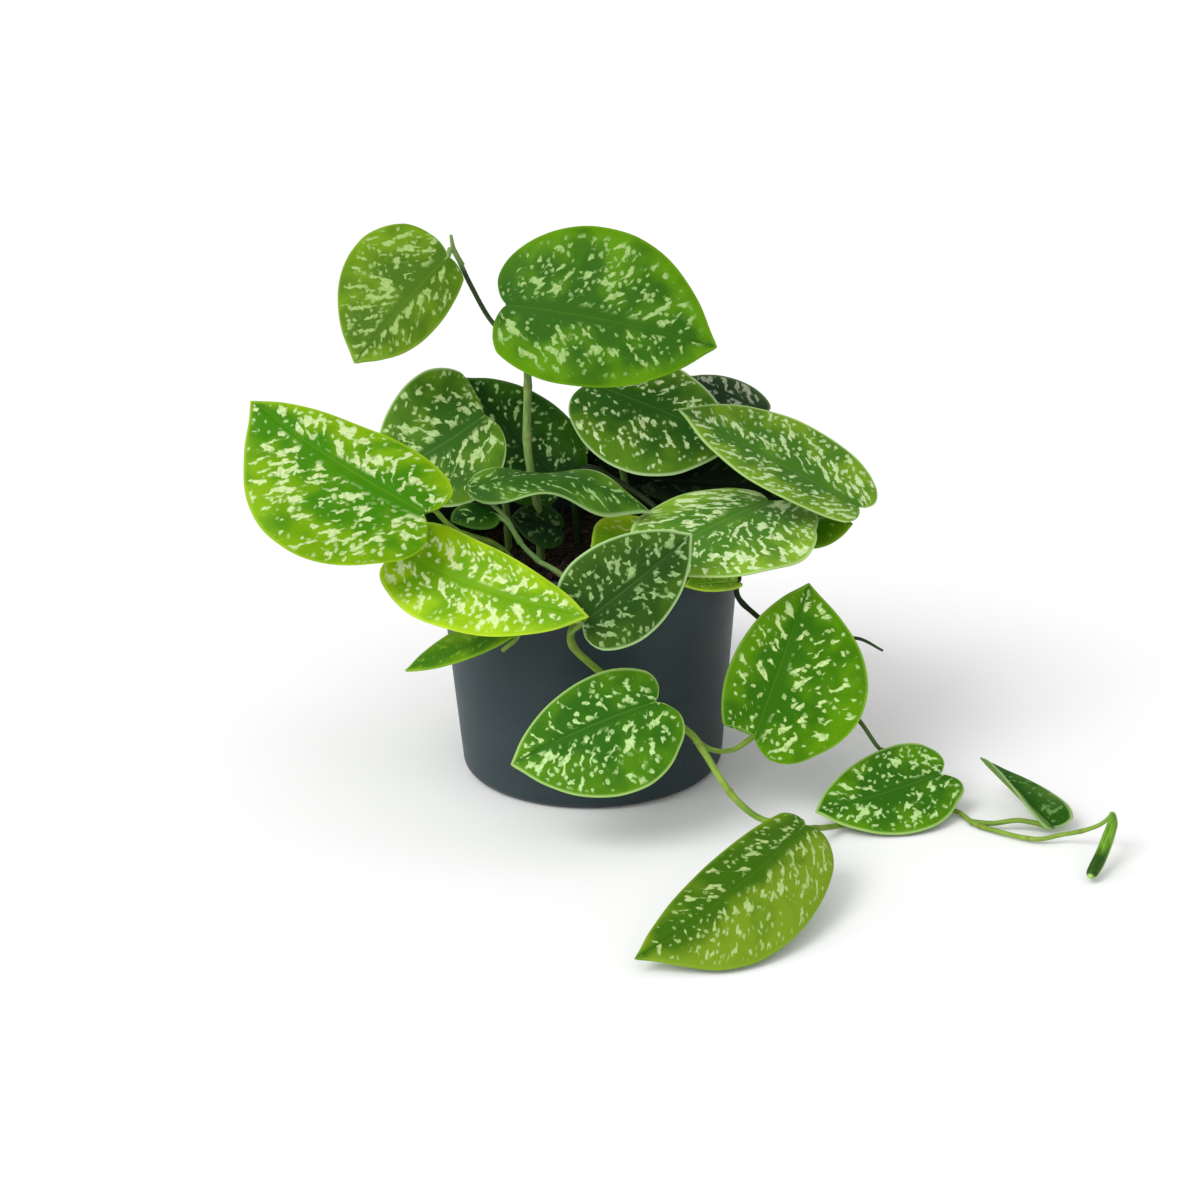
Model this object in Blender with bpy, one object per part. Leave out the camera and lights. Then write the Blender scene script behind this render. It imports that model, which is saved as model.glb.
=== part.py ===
"""A potted scindapsus: a nursery pot, its soil, and leafy shoots with silvery blotched leaves.

The pot stands on the floor at the origin, +Z is up and -Y is the front. Lengths in the tables are
millimetres and each mesh is written in metres. Every shoot grew as one, so its stem, petioles and
blades are joined in one solid that stands in a plain hole in the soil.
"""
import math

import bpy
import numpy as np

MM = 0.001
SHARP_ANGLE = 40.0

# Pot
POT_HEIGHT = 98.0
RIM_RADIUS = 61.4
RIM_DEPTH = 6.0
WALL_TOP_RADIUS = 60.6
WALL_FOOT_RADIUS = 52.6
WALL = 1.3
FLOOR = 1.6
FOOT_ROUND = 5.4
POT_SEGMENTS = 40
RECESS_INNER = 26.0
RECESS_OUTER = 38.0
RECESS_DEPTH = 1.0
DRAIN_HOLES = 6
DRAIN_RADIUS = 3.5

# Soil
SOIL_TOP = 88.0
SOIL_GAP = 0.3
SOIL_RELIEF = 1.6
SOIL_SEGMENTS = 32
HOLE_RADIUS = 2.7
HOLE_FLOOR = 79.4

# Shoots
BLADE_THICKNESS = 0.8
PETIOLE_SIDES = 5
STEM_SIDES = 6
BLADE_ROWS = 8
BLADE_SPANS = 3
FAN_ROWS = 2
MIDRIB_REACH = 0.55

# One half of a blade's outline from the sinus to the tip: share of the half width, share of the length
OUTLINE = (
    (0.00, 0.00), (0.10, -0.05), (0.30, -0.085), (0.56, -0.05), (0.82, 0.07), (0.97, 0.22),
    (1.00, 0.36), (0.94, 0.52), (0.75, 0.70), (0.43, 0.86), (0.13, 0.957), (0.00, 1.00),
)


def blade(base, tip, face, half, **bends):
    """The facts of one blade: where its petiole joins, its tip, the way it faces (azimuth from the
    front, elevation), its left and right half widths, and how it bends."""
    facts = dict(base=base, tip=tip, face=face, half=half, arch=0.0, fold=(0.0, 0.0), curl=(0.0, 0.0),
                 slide=(0.0, 0.0), lobe=(1.0, 1.0), sweep=0.0, twist=0.0, wave=(0.0, 2.0, 0.0))
    facts.update(bends)
    return facts


# Each shoot: its colour, its main stem and the stem's radius at both ends, then each leaf as (petiole
# points up to the blade, blade), then bare tips and side shoots as (points, radii)
SHOOTS = {
    "front_vine": dict(
        colour=(0.052, 0.168, 0.014),
        stem=[(10, -34, 80), (10, -35, 94), (10, -45, 103), (9, -56, 106), (4, -65, 101), (-4, -68, 88),
              (-7, -68, 77), (2, -67, 66), (19, -70, 52), (36, -75, 43), (42, -81, 37), (48, -89, 29),
              (54, -94, 22), (61, -98, 17), (68, -100, 15), (76, -97, 12), (84, -89, 7.5), (94, -77, 3),
              (105, -68, 1.5), (120, -62, 1.5), (132, -60, 1.5), (141, -63, 1.5), (146, -74, 1.5),
              (154, -82, 1.5), (167, -91, 2.0), (177, -92, 4), (185, -95, 7), (191, -98, 11), (195, -98, 15)],
        radius=(1.7, .8),
        leaves={
            "H": ([(-7, -68, 78), (-7, -74, 83)],
                  blade((-2, -80, 89.5), (39, -70, 120), (0, 20), (20.5, 18.5), slide=(-.07, -.04),
                        lobe=(1.1, .7), sweep=.01, arch=12, wave=(.8, 2.2, .1))),
            "M": ([(34, -75, 44), (31, -77, 49)],
                  blade((24, -78, 56), (-30.5, -92, 37.5), (5, 35), (30, 17.5), lobe=(1.4, .7),
                        slide=(-.01, -.07), sweep=.02, arch=14, fold=(4, 4))),
            "L": ([(39, -78, 40), (46, -76, 35), (54, -70, 32.5)],
                  blade((62.5, -62, 34.5), (85, -38, 88), (10, 30), (18.5, 36.5), slide=(0, .04),
                        lobe=(-.2, 1.3), arch=10)),
            "N": ([(75, -98, 12.5), (77, -112, 21)],
                  blade((77, -124, 24.5), (13.5, -192, 6), (10, 60), (28.5, 14), sweep=-.045,
                        slide=(.2, .03), lobe=(.6, .3), arch=20)),
            "P": ([(145, -73, 1.5), (153, -78, 3), (162, -79, 4.5), (169, -81, 4)],
                  blade((175, -82.5, 3.5), (152, -44, 16), (50, 60), (9.5, 11.5), fold=(22, 35),
                        slide=(-.14, -.12), lobe=(.5, .5), twist=-40)),
        },
        tips=[([(195, -98, 15), (194, -104, 14), (191, -111, 10.5), (187, -119, 6.5), (182, -128, 3)],
               (1.2, 1.9, 2.2, 2.3, 2.4, 2.0))]),
    "right_vine": dict(
        colour=(0.038, 0.125, 0.010),
        stem=[(-4, 12, 80), (-4, 12, 92), (-5, 9, 106), (-4, 8, 117), (1, 8, 122), (12, 6, 116.5),
              (24, 0, 110), (34, -12, 103), (43, -22, 100.5), (51, -30, 102), (56.2, -32, 97),
              (57.2, -31, 88), (58.2, -30, 79.5), (66, -31, 71.5), (82, -34, 57), (104, -40, 32),
              (113, -44, 20), (125, -49, 13)],
        radius=(1.5, .8),
        leaves={
            "O": ([(113, -44, 20), (124, -50, 15)],
                  blade((134.5, -55, 14), (85, -75, 8), (0, 60), (21.5, 20), lobe=(1.5, 1.1),
                        slide=(-.02, -.1), sweep=-.03, arch=8)),
            "U": ([(57, -31, 90), (58, -33.5, 89)],
                  blade((57.5, -37, 88.5), (36, -66, 98), (40, 40), (3, 7))),
        },
        tips=[([(82, -34, 57), (93, -35, 62), (104, -36, 64), (114, -37, 59)], (.9, .8, .7, .5))]),
    "left_shoot": dict(
        colour=(0.160, 0.330, 0.010),
        stem=[(-30, -24, 80), (-30, -25, 94), (-37, -33, 105), (-46, -43, 111)],
        radius=(1.8, 1.4),
        leaves={
            "J": ([(-46, -43, 111), (-53, -54, 121), (-57, -63, 129)],
                  blade((-61, -70, 131), (-124.5, -50, 169), (-5, 40), (38.5, 19), slide=(.11, -.14),
                        lobe=(1.3, .6), sweep=-.03, arch=16, wave=(.8, 2.0, .3))),
            "I": ([(-42, -38, 109), (-53, -47, 116), (-62, -54, 117)],
                  blade((-68.5, -58, 110), (0, -88, 94.5), (0, 40), (17.5, 20.5), slide=(-.11, -.1),
                        sweep=.045, lobe=(.1, 1), arch=10, wave=(.6, 2.4, 0))),
            "K": ([(-33, -29, 100), (-34, -44, 105), (-34, -57, 104), (-32, -66, 96)],
                  blade((-30, -70, 83), (-71, -58, 63), (-20, 60), (6, 12))),
        },
        tips=[([(-33, -64, 99), (-27, -69, 89), (-27, -72, 82), (-33, -73, 76)], (1.0, 1.0, 1.2, .9))]),
    "upright_shoot": dict(
        colour=(0.070, 0.240, 0.016),
        stem=[(-19, -5, 80), (-19, -5, 105), (-22, -5, 126), (-23, -5, 140), (-22, -5, 163), (-23, -4, 174)],
        radius=(1.8, 1.5),
        leaves={
            "B": ([(-23, -4, 174), (-25, -4, 184)],
                  blade((-29, -12, 194), (50.5, -30, 180.5), (5, 25), (36.5, 27), curl=(-10, -10),
                        slide=(.03, 0), lobe=(.9, .5), sweep=-.015, arch=14, wave=(.9, 2.2, 0))),
            "A": ([(-23, -4, 174), (-35, 0, 184), (-43, 0, 199), (-48, 0, 211), (-50, 0, 214)],
                  blade((-51.5, -2, 211), (-87.5, -22, 175), (-20, 30), (15.5, 34.5), fold=(-10, 0),
                        curl=(-10, -10), slide=(.1, -.05), lobe=(.1, .7), arch=12)),
            "W3": ([(-19, -5, 98), (-15, -7, 101)],
                   blade((-11, -8, 102), (-30, -14, 109), (0, 50), (10, 10))),
        },
        tips=[([(-46, 0, 207), (-49, 0, 213), (-50, 0, 219)], (1.1, 1.0, .6))]),
    "back_left_shoot": dict(
        colour=(0.120, 0.260, 0.060),
        stem=[(-32, 6, 80), (-32, 6, 100), (-34, 6, 122), (-36, 6, 137)],
        radius=(1.6, 1.3),
        leaves={
            "C": ([(-36, 6, 137), (-38, 7, 142)],
                  blade((-40, 5, 145), (-83, -5, 123), (-10, 35), (27, 30.5), slide=(.02, -.06),
                        lobe=(.8, .4), sweep=-.045, arch=16)),
        },
        tips=[]),
    "centre_shoot": dict(
        colour=(0.062, 0.200, 0.024),
        stem=[(-8, -42, 80), (-8, -42, 91), (-12, -39, 95), (-19, -35, 98)],
        radius=(1.2, 1.05),
        leaves={
            "R": ([(-19, -35, 98), (-26, -30, 104), (-32, -27, 114)],
                  blade((-44, -24, 125.5), (25, -35, 116.5), (0, 72), (12.5, 11.5), fold=(-12, -18),
                        slide=(-.03, .16), lobe=(.5, .4), sweep=-.05, arch=46, wave=(4.6, 1.3, .3))),
            "W1": ([(-26, -30, 104), (-31, -28, 112)],
                   blade((-37, -28, 116), (-52, -40, 117), (0, 60), (8, 8))),
        },
        tips=[]),
    "right_shoot": dict(
        colour=(0.070, 0.180, 0.034),
        stem=[(28, -4, 80), (28, -4, 92), (38, -3, 101), (55, -6, 105)],
        radius=(1.7, 1.4),
        leaves={
            "G": ([(55, -6, 105), (66, -9, 108)],
                  blade((70.5, -15, 114), (19, -60, 103), (0, 70), (36.5, 24), slide=(-.03, .21),
                        lobe=(2, .5), arch=14, wave=(.7, 2, .2))),
            "F": ([(55, -6, 105), (76, -8, 103), (96, -12, 107)],
                  blade((105.5, -18, 112), (36, -14, 152), (15, 55), (21.5, 25), fold=(20, 0),
                        slide=(.11, -.02), lobe=(.2, .9), sweep=-.02, arch=10)),
            "F2": ([(66, -7, 104), (74, -4, 106)],
                   blade((80, -3, 103), (104.5, -6, 101), (0, 40), (6, 12))),
        },
        tips=[]),
    "inner_right_shoot": dict(
        colour=(0.066, 0.180, 0.034),
        stem=[(16, 18, 80), (16, 18, 96), (14, 20, 120), (8, 23, 143)],
        radius=(1.6, 1.3),
        leaves={
            "E": ([(8, 23, 143), (5, 24, 149)],
                  blade((3, 24, 152), (60, 6, 131), (-5, 45), (20, 31.5), fold=(5, 5), slide=(0, .07),
                        arch=12)),
            "S": ([(16, 17, 90), (24, 4, 95), (30, -8, 98)],
                  blade((27, -14, 102), (1, -25, 100), (0, 50), (4, 12), slide=(0, .2))),
        },
        tips=[]),
    "rear_left_shoot": dict(
        colour=(0.042, 0.120, 0.016),
        stem=[(-16, 32, 80), (-16, 32, 96), (-18, 36, 108), (-22, 40, 116)],
        radius=(1.7, 1.3),
        leaves={
            "D": ([(-16, 32, 100), (-14, 27, 108)],
                  blade((-11, 20, 113), (-49, 40, 151), (0, 25), (22, 20), slide=(0, -.05))),
            "b1": ([(-22, 40, 116), (-25, 43, 119)],
                   blade((-28, 46, 120), (-66, 82, 100), (215, 50), (24, 28), arch=16)),
            "b4": ([(-18, 36, 108), (-14, 48, 113), (-12, 57, 111)],
                   blade((-12, 64, 106), (-26, 98, 62), (185, 30), (24, 22), arch=14)),
            "b6": ([(-20, 38, 112), (-34, 34, 118), (-46, 30, 117)],
                   blade((-56, 28, 112), (-92, 46, 84), (245, 45), (24, 19), arch=16)),
            "b9": ([(-16, 32, 98), (-24, 26, 102), (-31, 21, 105)],
                   blade((-36, 18, 106), (-70, 0, 108), (0, 40), (12, 10), arch=8)),
        },
        tips=[]),
    "rear_right_shoot": dict(
        colour=(0.042, 0.110, 0.018),
        stem=[(24, 34, 80), (24, 34, 96), (24, 38, 110), (20, 42, 120)],
        radius=(1.7, 1.3),
        leaves={
            "b2": ([(20, 42, 120), (14, 46, 125)],
                   blade((10, 50, 126), (6, 104, 98), (180, 45), (30, 22), arch=16)),
            "b3": ([(24, 38, 110), (32, 42, 118)],
                   blade((40, 44, 121), (80, 70, 100), (140, 50), (22, 27), arch=16)),
            "b5": ([(24, 37, 106), (28, 50, 110), (30, 58, 108)],
                   blade((32, 64, 104), (50, 90, 60), (160, 30), (20, 24), arch=14)),
            "V": ([(24, 37, 106), (40, 26, 115), (58, 22, 130)],
                  blade((70, 22, 140), (42, 32, 152), (0, 45), (7, 8))),
            "b7": ([(24, 34, 97), (24, 25, 102), (25, 18, 108)],
                   blade((28, 14, 114), (98, 9, 108.5), (0, 30), (15, 10), arch=10)),
            "b8": ([(24, 34, 93), (17, 33, 96), (10, 31, 99)],
                   blade((5, 29, 103), (42, 25, 127), (0, 12), (20, 15), arch=8)),
        },
        tips=[]),
}


def unit(vector):
    return vector / np.linalg.norm(vector)


def spline(points, count):
    """A smooth curve through the points, as count + 1 evenly spaced places."""
    p = np.asarray(points, float)
    p = np.vstack([2 * p[0] - p[1], p, 2 * p[-1] - p[-2]])
    fine = []
    for a, b, c, d in zip(p, p[1:], p[2:], p[3:]):
        t = np.linspace(0, 1, 12, endpoint=False)[:, None]
        fine.append(0.5 * (2 * b + (c - a) * t + (2 * a - 5 * b + 4 * c - d) * t**2
                           + (3 * b - a - 3 * c + d) * t**3))
    fine = np.vstack(fine + [p[-2][None]])
    run = np.concatenate([[0], np.cumsum(np.linalg.norm(np.diff(fine, axis=0), axis=1))])
    stops = np.linspace(0, run[-1], count + 1)
    return np.stack([np.interp(stops, run, fine[:, k]) for k in range(p.shape[1])], 1)


def length_of(points):
    return np.linalg.norm(np.diff(np.asarray(points, float), axis=0), axis=1).sum()


class BladeSurface:
    """The middle surface of a blade, asked for by side, share of the half width and share of the length."""

    def __init__(self, facts):
        self.facts = facts
        self.base = np.array(facts["base"], float)
        chord = np.array(facts["tip"], float) - self.base
        self.chord = np.linalg.norm(chord)
        self.along = chord / self.chord
        azimuth, elevation = np.radians(facts["face"])
        face = np.array([math.sin(azimuth) * math.cos(elevation), -math.cos(azimuth) * math.cos(elevation),
                         math.sin(elevation)])
        self.up = unit(face - face @ self.along * self.along)
        self.across = np.cross(self.along, self.up)

    def midrib(self, t):
        arch = math.radians(self.facts["arch"])
        if abs(arch) < 1e-6:
            y, z, pitch = t * self.chord, 0 * t, 0 * t
        else:
            radius = self.chord / (2 * math.sin(arch / 2))
            turn = arch * (t - 0.5)
            y = self.chord / 2 + radius * np.sin(turn)
            z = radius * (np.cos(turn) - math.cos(arch / 2))
            pitch = -turn
        x = self.facts["sweep"] * self.chord * 4 * t * (1 - t) * ((t > 0) & (t < 1))
        return x, y, z, pitch

    def point(self, side, across, along):
        facts = self.facts
        k = 0 if side < 0 else 1
        half, fold, curl = facts["half"][k], math.radians(facts["fold"][k]), math.radians(facts["curl"][k])
        across, along = np.asarray(across, float), np.asarray(along, float)
        along = np.where(along < 0, along * facts["lobe"][k], along) + facts["slide"][k] * across**2
        if abs(curl) < 1e-4:
            out, lift = half * across * math.cos(fold), half * across * math.sin(fold)
        else:
            out = half / curl * (np.sin(fold + curl * across) - math.sin(fold))
            lift = half / curl * (math.cos(fold) - np.cos(fold + curl * across))
        height, waves, phase = facts["wave"]
        lift = lift + height * across**2 * np.sin(2 * math.pi * (waves * along + phase + 0.37 * k))
        x, y, z, pitch = self.midrib(along)
        turn = math.radians(facts["twist"]) * along
        sideways = side * out * np.cos(turn) - lift * np.sin(turn)
        lift = side * out * np.sin(turn) + lift * np.cos(turn)
        x, y, z = x + sideways, y - lift * np.sin(pitch), z + lift * np.cos(pitch)
        return (self.base + np.multiply.outer(x, self.across) + np.multiply.outer(y, self.along)
                + np.multiply.outer(z, self.up))


def blade_solid(facts):
    """A thin solid: rows run from the midrib to the margin, the first ones fanning from the petiole."""
    surface = BladeSurface(facts)
    margin = spline(OUTLINE, BLADE_ROWS + 1)[1:-1]
    starts = np.clip((np.arange(BLADE_ROWS) - FAN_ROWS) / (BLADE_ROWS - FAN_ROWS), 0, None)
    points = [surface.point(1, 0.0, 0.0), surface.point(1, 0.0, 1.0)]
    middle = [0]
    for start in starts[1:]:
        if start > 0:
            middle.append(len(points))
            points.append(surface.point(1, 0.0, start))
        else:
            middle.append(0)
    triangles = []
    edges = {}
    for side in (1, -1):
        rows = []
        for row in range(BLADE_ROWS):
            row_points = [middle[row]]
            for span in range(1, BLADE_SPANS + 1):
                share = span / BLADE_SPANS
                row_points.append(len(points))
                points.append(surface.point(side, share * margin[row, 0],
                                            starts[row] + share * (margin[row, 1] - starts[row])))
            rows.append(row_points)
        edges[side] = rows[0] + [row[-1] for row in rows[1:]]
        faces = []
        for low, high in zip(rows, rows[1:]):
            for a, b, c, d in zip(low, low[1:], high[1:], high):
                faces += [(a, b, c)] + ([(a, c, d)] if a != d else [])
        faces += [(a, b, 1) for a, b in zip(rows[-1], rows[-1][1:])]
        triangles += faces if side > 0 else [face[::-1] for face in faces]
    points = np.array(points)
    triangles = np.array(triangles)
    loop = edges[1] + [1] + edges[-1][:0:-1]
    return thicken(points, triangles, loop)


def thicken(points, triangles, loop):
    """Both faces of a sheet, triangulated alike, and its rim. Triangles face up."""
    corners = points[triangles]
    areas = np.cross(corners[:, 1] - corners[:, 0], corners[:, 2] - corners[:, 0])
    normals = np.zeros_like(points)
    for k in range(3):
        np.add.at(normals, triangles[:, k], areas)
    normals /= np.linalg.norm(normals, axis=1)[:, None]
    count = len(points)
    both = np.vstack([points + normals * BLADE_THICKNESS / 2, points - normals * BLADE_THICKNESS / 2])
    faces = [tuple(t) for t in triangles] + [tuple(t[::-1] + count) for t in triangles]
    for a, b in zip(loop, loop[1:] + loop[:1]):
        faces += [(b, a, a + count), (b, a + count, b + count)]
    return both, faces


def tube(points, radii, sides):
    """A round rod along the points, closed at both ends."""
    points = np.asarray(points, float)
    directions = np.gradient(points, axis=0)
    directions /= np.linalg.norm(directions, axis=1)[:, None]
    start = np.array([1.0, 0.0, 0.0]) if abs(directions[0, 0]) < 0.8 else np.array([0.0, 1.0, 0.0])
    side = unit(start - start @ directions[0] * directions[0])
    angles = np.arange(sides) * 2 * math.pi / sides
    rings = []
    for place, direction, radius in zip(points, directions, radii):
        side = unit(side - side @ direction * direction)
        other = np.cross(direction, side)
        rings.append(place + radius * (np.outer(np.cos(angles), side) + np.outer(np.sin(angles), other)))
    vertices = np.vstack(rings)
    faces = [tuple(range(sides))[::-1], tuple(range(len(vertices) - sides, len(vertices)))]
    for ring in range(len(points) - 1):
        for k in range(sides):
            a, b = ring * sides + k, ring * sides + (k + 1) % sides
            faces.append((a, b, b + sides, a + sides))
    return vertices, faces


def petiole_rod(start_points, facts):
    """From the stem to the blade, then on under the blade as its tapering midrib."""
    surface = BladeSurface(facts)
    free = list(start_points) + [tuple(surface.base - 0.7 * surface.up)]
    steps = max(3, round(length_of(free) / 8))
    places = spline(free, steps)
    radii = np.linspace(0.95, 1.1, steps + 1)
    shares = np.array([0.08, 0.2, 0.36, MIDRIB_REACH])
    under = np.array([1.0, 0.85, 0.7, 0.45])
    rib = [surface.point(1, 0.0, share) - (radius - 0.3) * surface.up for share, radius in zip(shares, under)]
    return tube(np.vstack([places, rib]), np.concatenate([radii, under]), PETIOLE_SIDES)


def new_object(name, vertices, faces):
    mesh = bpy.data.meshes.new(name)
    corners = [tuple(float(c) * MM for c in vertex) for vertex in vertices]
    mesh.from_pydata(corners, [], [tuple(int(k) for k in face) for face in faces])
    mesh.validate()
    made = bpy.data.objects.new(name, mesh)
    bpy.context.scene.collection.objects.link(made)
    return made


def dress(target, name, colour, roughness):
    """Give the solid its own material and smooth shading up to its sharp edges."""
    made = bpy.data.materials.new(name)
    made.use_nodes = True
    shader = made.node_tree.nodes["Principled BSDF"]
    shader.inputs["Base Color"].default_value = (*colour, 1.0)
    shader.inputs["Roughness"].default_value = roughness
    target.data.materials.clear()
    target.data.materials.append(made)
    target.data.shade_smooth()
    target.data.set_sharp_from_angle(angle=math.radians(SHARP_ANGLE))


def apply_modifier(target, modifier):
    with bpy.context.temp_override(object=target, active_object=target, selected_objects=[target]):
        bpy.ops.object.modifier_apply(modifier=modifier.name)


def combine(target, others, operation):
    """One Boolean of the target with a collection of solids, applied, and the solids removed."""
    group = bpy.data.collections.new(target.name + "_others")
    bpy.context.scene.collection.children.link(group)
    for other in others:
        bpy.context.scene.collection.objects.unlink(other)
        group.objects.link(other)
    modifier = target.modifiers.new("combine", "BOOLEAN")
    modifier.operation = operation
    modifier.operand_type = "COLLECTION"
    modifier.collection = group
    modifier.solver = "MANIFOLD" if operation == "UNION" else "EXACT"
    apply_modifier(target, modifier)
    for other in others:
        mesh = other.data
        bpy.data.objects.remove(other)
        bpy.data.meshes.remove(mesh)
    bpy.data.collections.remove(group)


def revolve(name, profile, segments):
    """Turn a closed profile of (radius, height) pairs; a radius of zero is one point on the axis."""
    vertices, rings = [], []
    for radius, height in profile:
        if radius == 0:
            rings.append([len(vertices)] * segments)
            vertices.append((0, 0, height))
        else:
            rings.append(list(range(len(vertices), len(vertices) + segments)))
            for k in range(segments):
                turn = 2 * math.pi * k / segments
                vertices.append((radius * math.cos(turn), radius * math.sin(turn), height))
    faces = []
    for low, high in zip(rings, rings[1:]):
        for k in range(segments):
            a, b, c, d = low[k], low[(k + 1) % segments], high[(k + 1) % segments], high[k]
            faces.append(tuple(dict.fromkeys((a, b, c, d))))
    return new_object(name, vertices, faces)


def arc(centre, radius, start, end, count):
    return [(centre[0] + radius * math.cos(math.radians(a)), centre[1] + radius * math.sin(math.radians(a)))
            for a in np.linspace(start, end, count)]


def wall_radius(height):
    share = (height - FOOT_ROUND) / (POT_HEIGHT - FOOT_ROUND)
    return WALL_FOOT_RADIUS + (WALL_TOP_RADIUS - WALL_FOOT_RADIUS) * share


def build_pot():
    lip = POT_HEIGHT - RIM_DEPTH
    profile = [(0, 0), (RECESS_INNER, 0), (RECESS_INNER + 1, RECESS_DEPTH), (RECESS_OUTER - 1, RECESS_DEPTH),
               (RECESS_OUTER, 0)]
    profile += arc((WALL_FOOT_RADIUS - FOOT_ROUND, FOOT_ROUND), FOOT_ROUND, -90, 0, 4)
    profile += [(wall_radius(lip) - 0.02, lip - 0.6), (RIM_RADIUS, lip + 0.2)]
    profile += arc((RIM_RADIUS - 0.9, POT_HEIGHT - 0.9), 0.9, 0, 90, 3)
    profile += arc((WALL_TOP_RADIUS - WALL + 0.8, POT_HEIGHT - 0.8), 0.8, 90, 180, 3)
    inner_round = FOOT_ROUND - WALL
    floor_top = RECESS_DEPTH + FLOOR
    profile += arc((WALL_FOOT_RADIUS - FOOT_ROUND, floor_top + inner_round), inner_round, 0, -90, 3)
    profile += [(0, floor_top)]
    pot = revolve("pot", profile, POT_SEGMENTS)
    cutters = []
    middle = (RECESS_INNER + RECESS_OUTER) / 2
    for k in range(DRAIN_HOLES):
        turn = 2 * math.pi * (k + 0.5) / DRAIN_HOLES
        at = (middle * math.cos(turn), middle * math.sin(turn))
        cutters.append(post("drain", at, -1, floor_top + 1, DRAIN_RADIUS, 14))
    combine(pot, cutters, "DIFFERENCE")
    return pot


def post(name, at, low, high, radius, sides):
    rod = tube([(at[0], at[1], low), (at[0], at[1], high)], (radius, radius), sides)
    return new_object(name, *rod)


def relief(x, y):
    """The lumpy top of the soil."""
    return SOIL_RELIEF * (0.5 * math.sin(0.21 * x + 0.6) * math.cos(0.17 * y - 0.4)
                          + 0.3 * math.sin(0.47 * x - 0.31 * y) + 0.2 * math.cos(0.39 * y + 0.52 * x + 1.1))


def build_soil():
    floor_top = RECESS_DEPTH + FLOOR + SOIL_GAP
    inset = WALL + SOIL_GAP
    rim = wall_radius(SOIL_TOP) - inset - 0.2
    foot = WALL_FOOT_RADIUS - inset
    corner = FOOT_ROUND - WALL
    profile = [(0, floor_top)]
    profile += arc((foot - corner, floor_top + corner), corner, -90, 0, 3)
    profile += [(rim, SOIL_TOP - 1.5)]
    profile += [(rim * share, SOIL_TOP) for share in (0.97, 0.84, 0.66, 0.46, 0.24)] + [(0, SOIL_TOP)]
    soil = revolve("potting_soil", profile, SOIL_SEGMENTS)
    for vertex in soil.data.vertices:
        if vertex.co.z > (SOIL_TOP - 1) * MM:
            vertex.co.z += relief(vertex.co.x / MM, vertex.co.y / MM) * MM
    feet = [shoot["stem"][0][:2] for shoot in SHOOTS.values()]
    combine(soil, [post("hole", at, HOLE_FLOOR, SOIL_TOP + 10, HOLE_RADIUS, 12) for at in feet], "DIFFERENCE")
    return soil


def build_shoot(name, shoot):
    steps = max(4, round(length_of(shoot["stem"]) / 9))
    places = spline(shoot["stem"], steps)
    stem = new_object(name, *tube(places, np.linspace(*shoot["radius"], steps + 1), STEM_SIDES))
    parts = []
    for petiole, facts in shoot["leaves"].values():
        parts.append(new_object("petiole", *petiole_rod(petiole, facts)))
        parts.append(new_object("blade", *blade_solid(facts)))
    for points, radii in shoot["tips"]:
        steps = 2 * (len(points) - 1)
        widths = np.interp(np.linspace(0, 1, steps + 1), np.linspace(0, 1, len(radii)), radii)
        parts.append(new_object("tip", *tube(spline(points, steps), widths, PETIOLE_SIDES)))
    combine(stem, parts, "UNION")
    return stem


def clear_scene():
    for old in list(bpy.data.objects):
        bpy.data.objects.remove(old)


def main():
    clear_scene()
    dress(build_pot(), "pot_plastic", (0.04, 0.055, 0.06), 0.45)
    dress(build_soil(), "peat", (0.018, 0.012, 0.006), 0.95)
    for name, facts in SHOOTS.items():
        dress(build_shoot(name, facts), name + "_green", facts["colour"], 0.42)


main()
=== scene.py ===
"""The looks of a potted scindapsus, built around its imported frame.

Each shoot's stems and blades are made again from the routes and outlines that its solid has, with a finer
mesh, veins, thin margins and silver marks. The pot and the soil are turned again with a moulded rim and
loose crumbs. Lengths are millimetres where no comment says otherwise. Meshes are written in metres.
"""
from math import cos, hypot, pi, radians, sin, sqrt

import bpy
import numpy as np
from mathutils import Matrix, Vector, noise


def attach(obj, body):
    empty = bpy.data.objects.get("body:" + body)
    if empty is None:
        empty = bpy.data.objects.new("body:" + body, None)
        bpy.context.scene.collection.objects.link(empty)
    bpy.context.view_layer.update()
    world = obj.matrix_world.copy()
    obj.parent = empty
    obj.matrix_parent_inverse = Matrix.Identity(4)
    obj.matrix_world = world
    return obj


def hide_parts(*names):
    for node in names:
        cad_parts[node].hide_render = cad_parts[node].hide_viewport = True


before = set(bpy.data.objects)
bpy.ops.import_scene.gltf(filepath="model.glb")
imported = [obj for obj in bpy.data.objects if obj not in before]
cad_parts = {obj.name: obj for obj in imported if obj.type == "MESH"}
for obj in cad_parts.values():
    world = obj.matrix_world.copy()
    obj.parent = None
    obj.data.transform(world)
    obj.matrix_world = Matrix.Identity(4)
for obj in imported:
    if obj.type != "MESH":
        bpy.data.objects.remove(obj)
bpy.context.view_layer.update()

MM = 0.001
SHARP_ANGLE = radians(48)

# Camera, fitted to the pot's rim, wall and foot; its two angles are degrees
CAMERA_TARGET = (4.2, 0.0, 69.0)
CAMERA_DISTANCE = 1200.0
CAMERA_ELEVATION = 20.0
CAMERA_ROLL = 1.2
CAMERA_LENS = 90.0
CAMERA_SENSOR = 36.0

# Faces around the pot and the soil
SEGMENTS = 168

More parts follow.
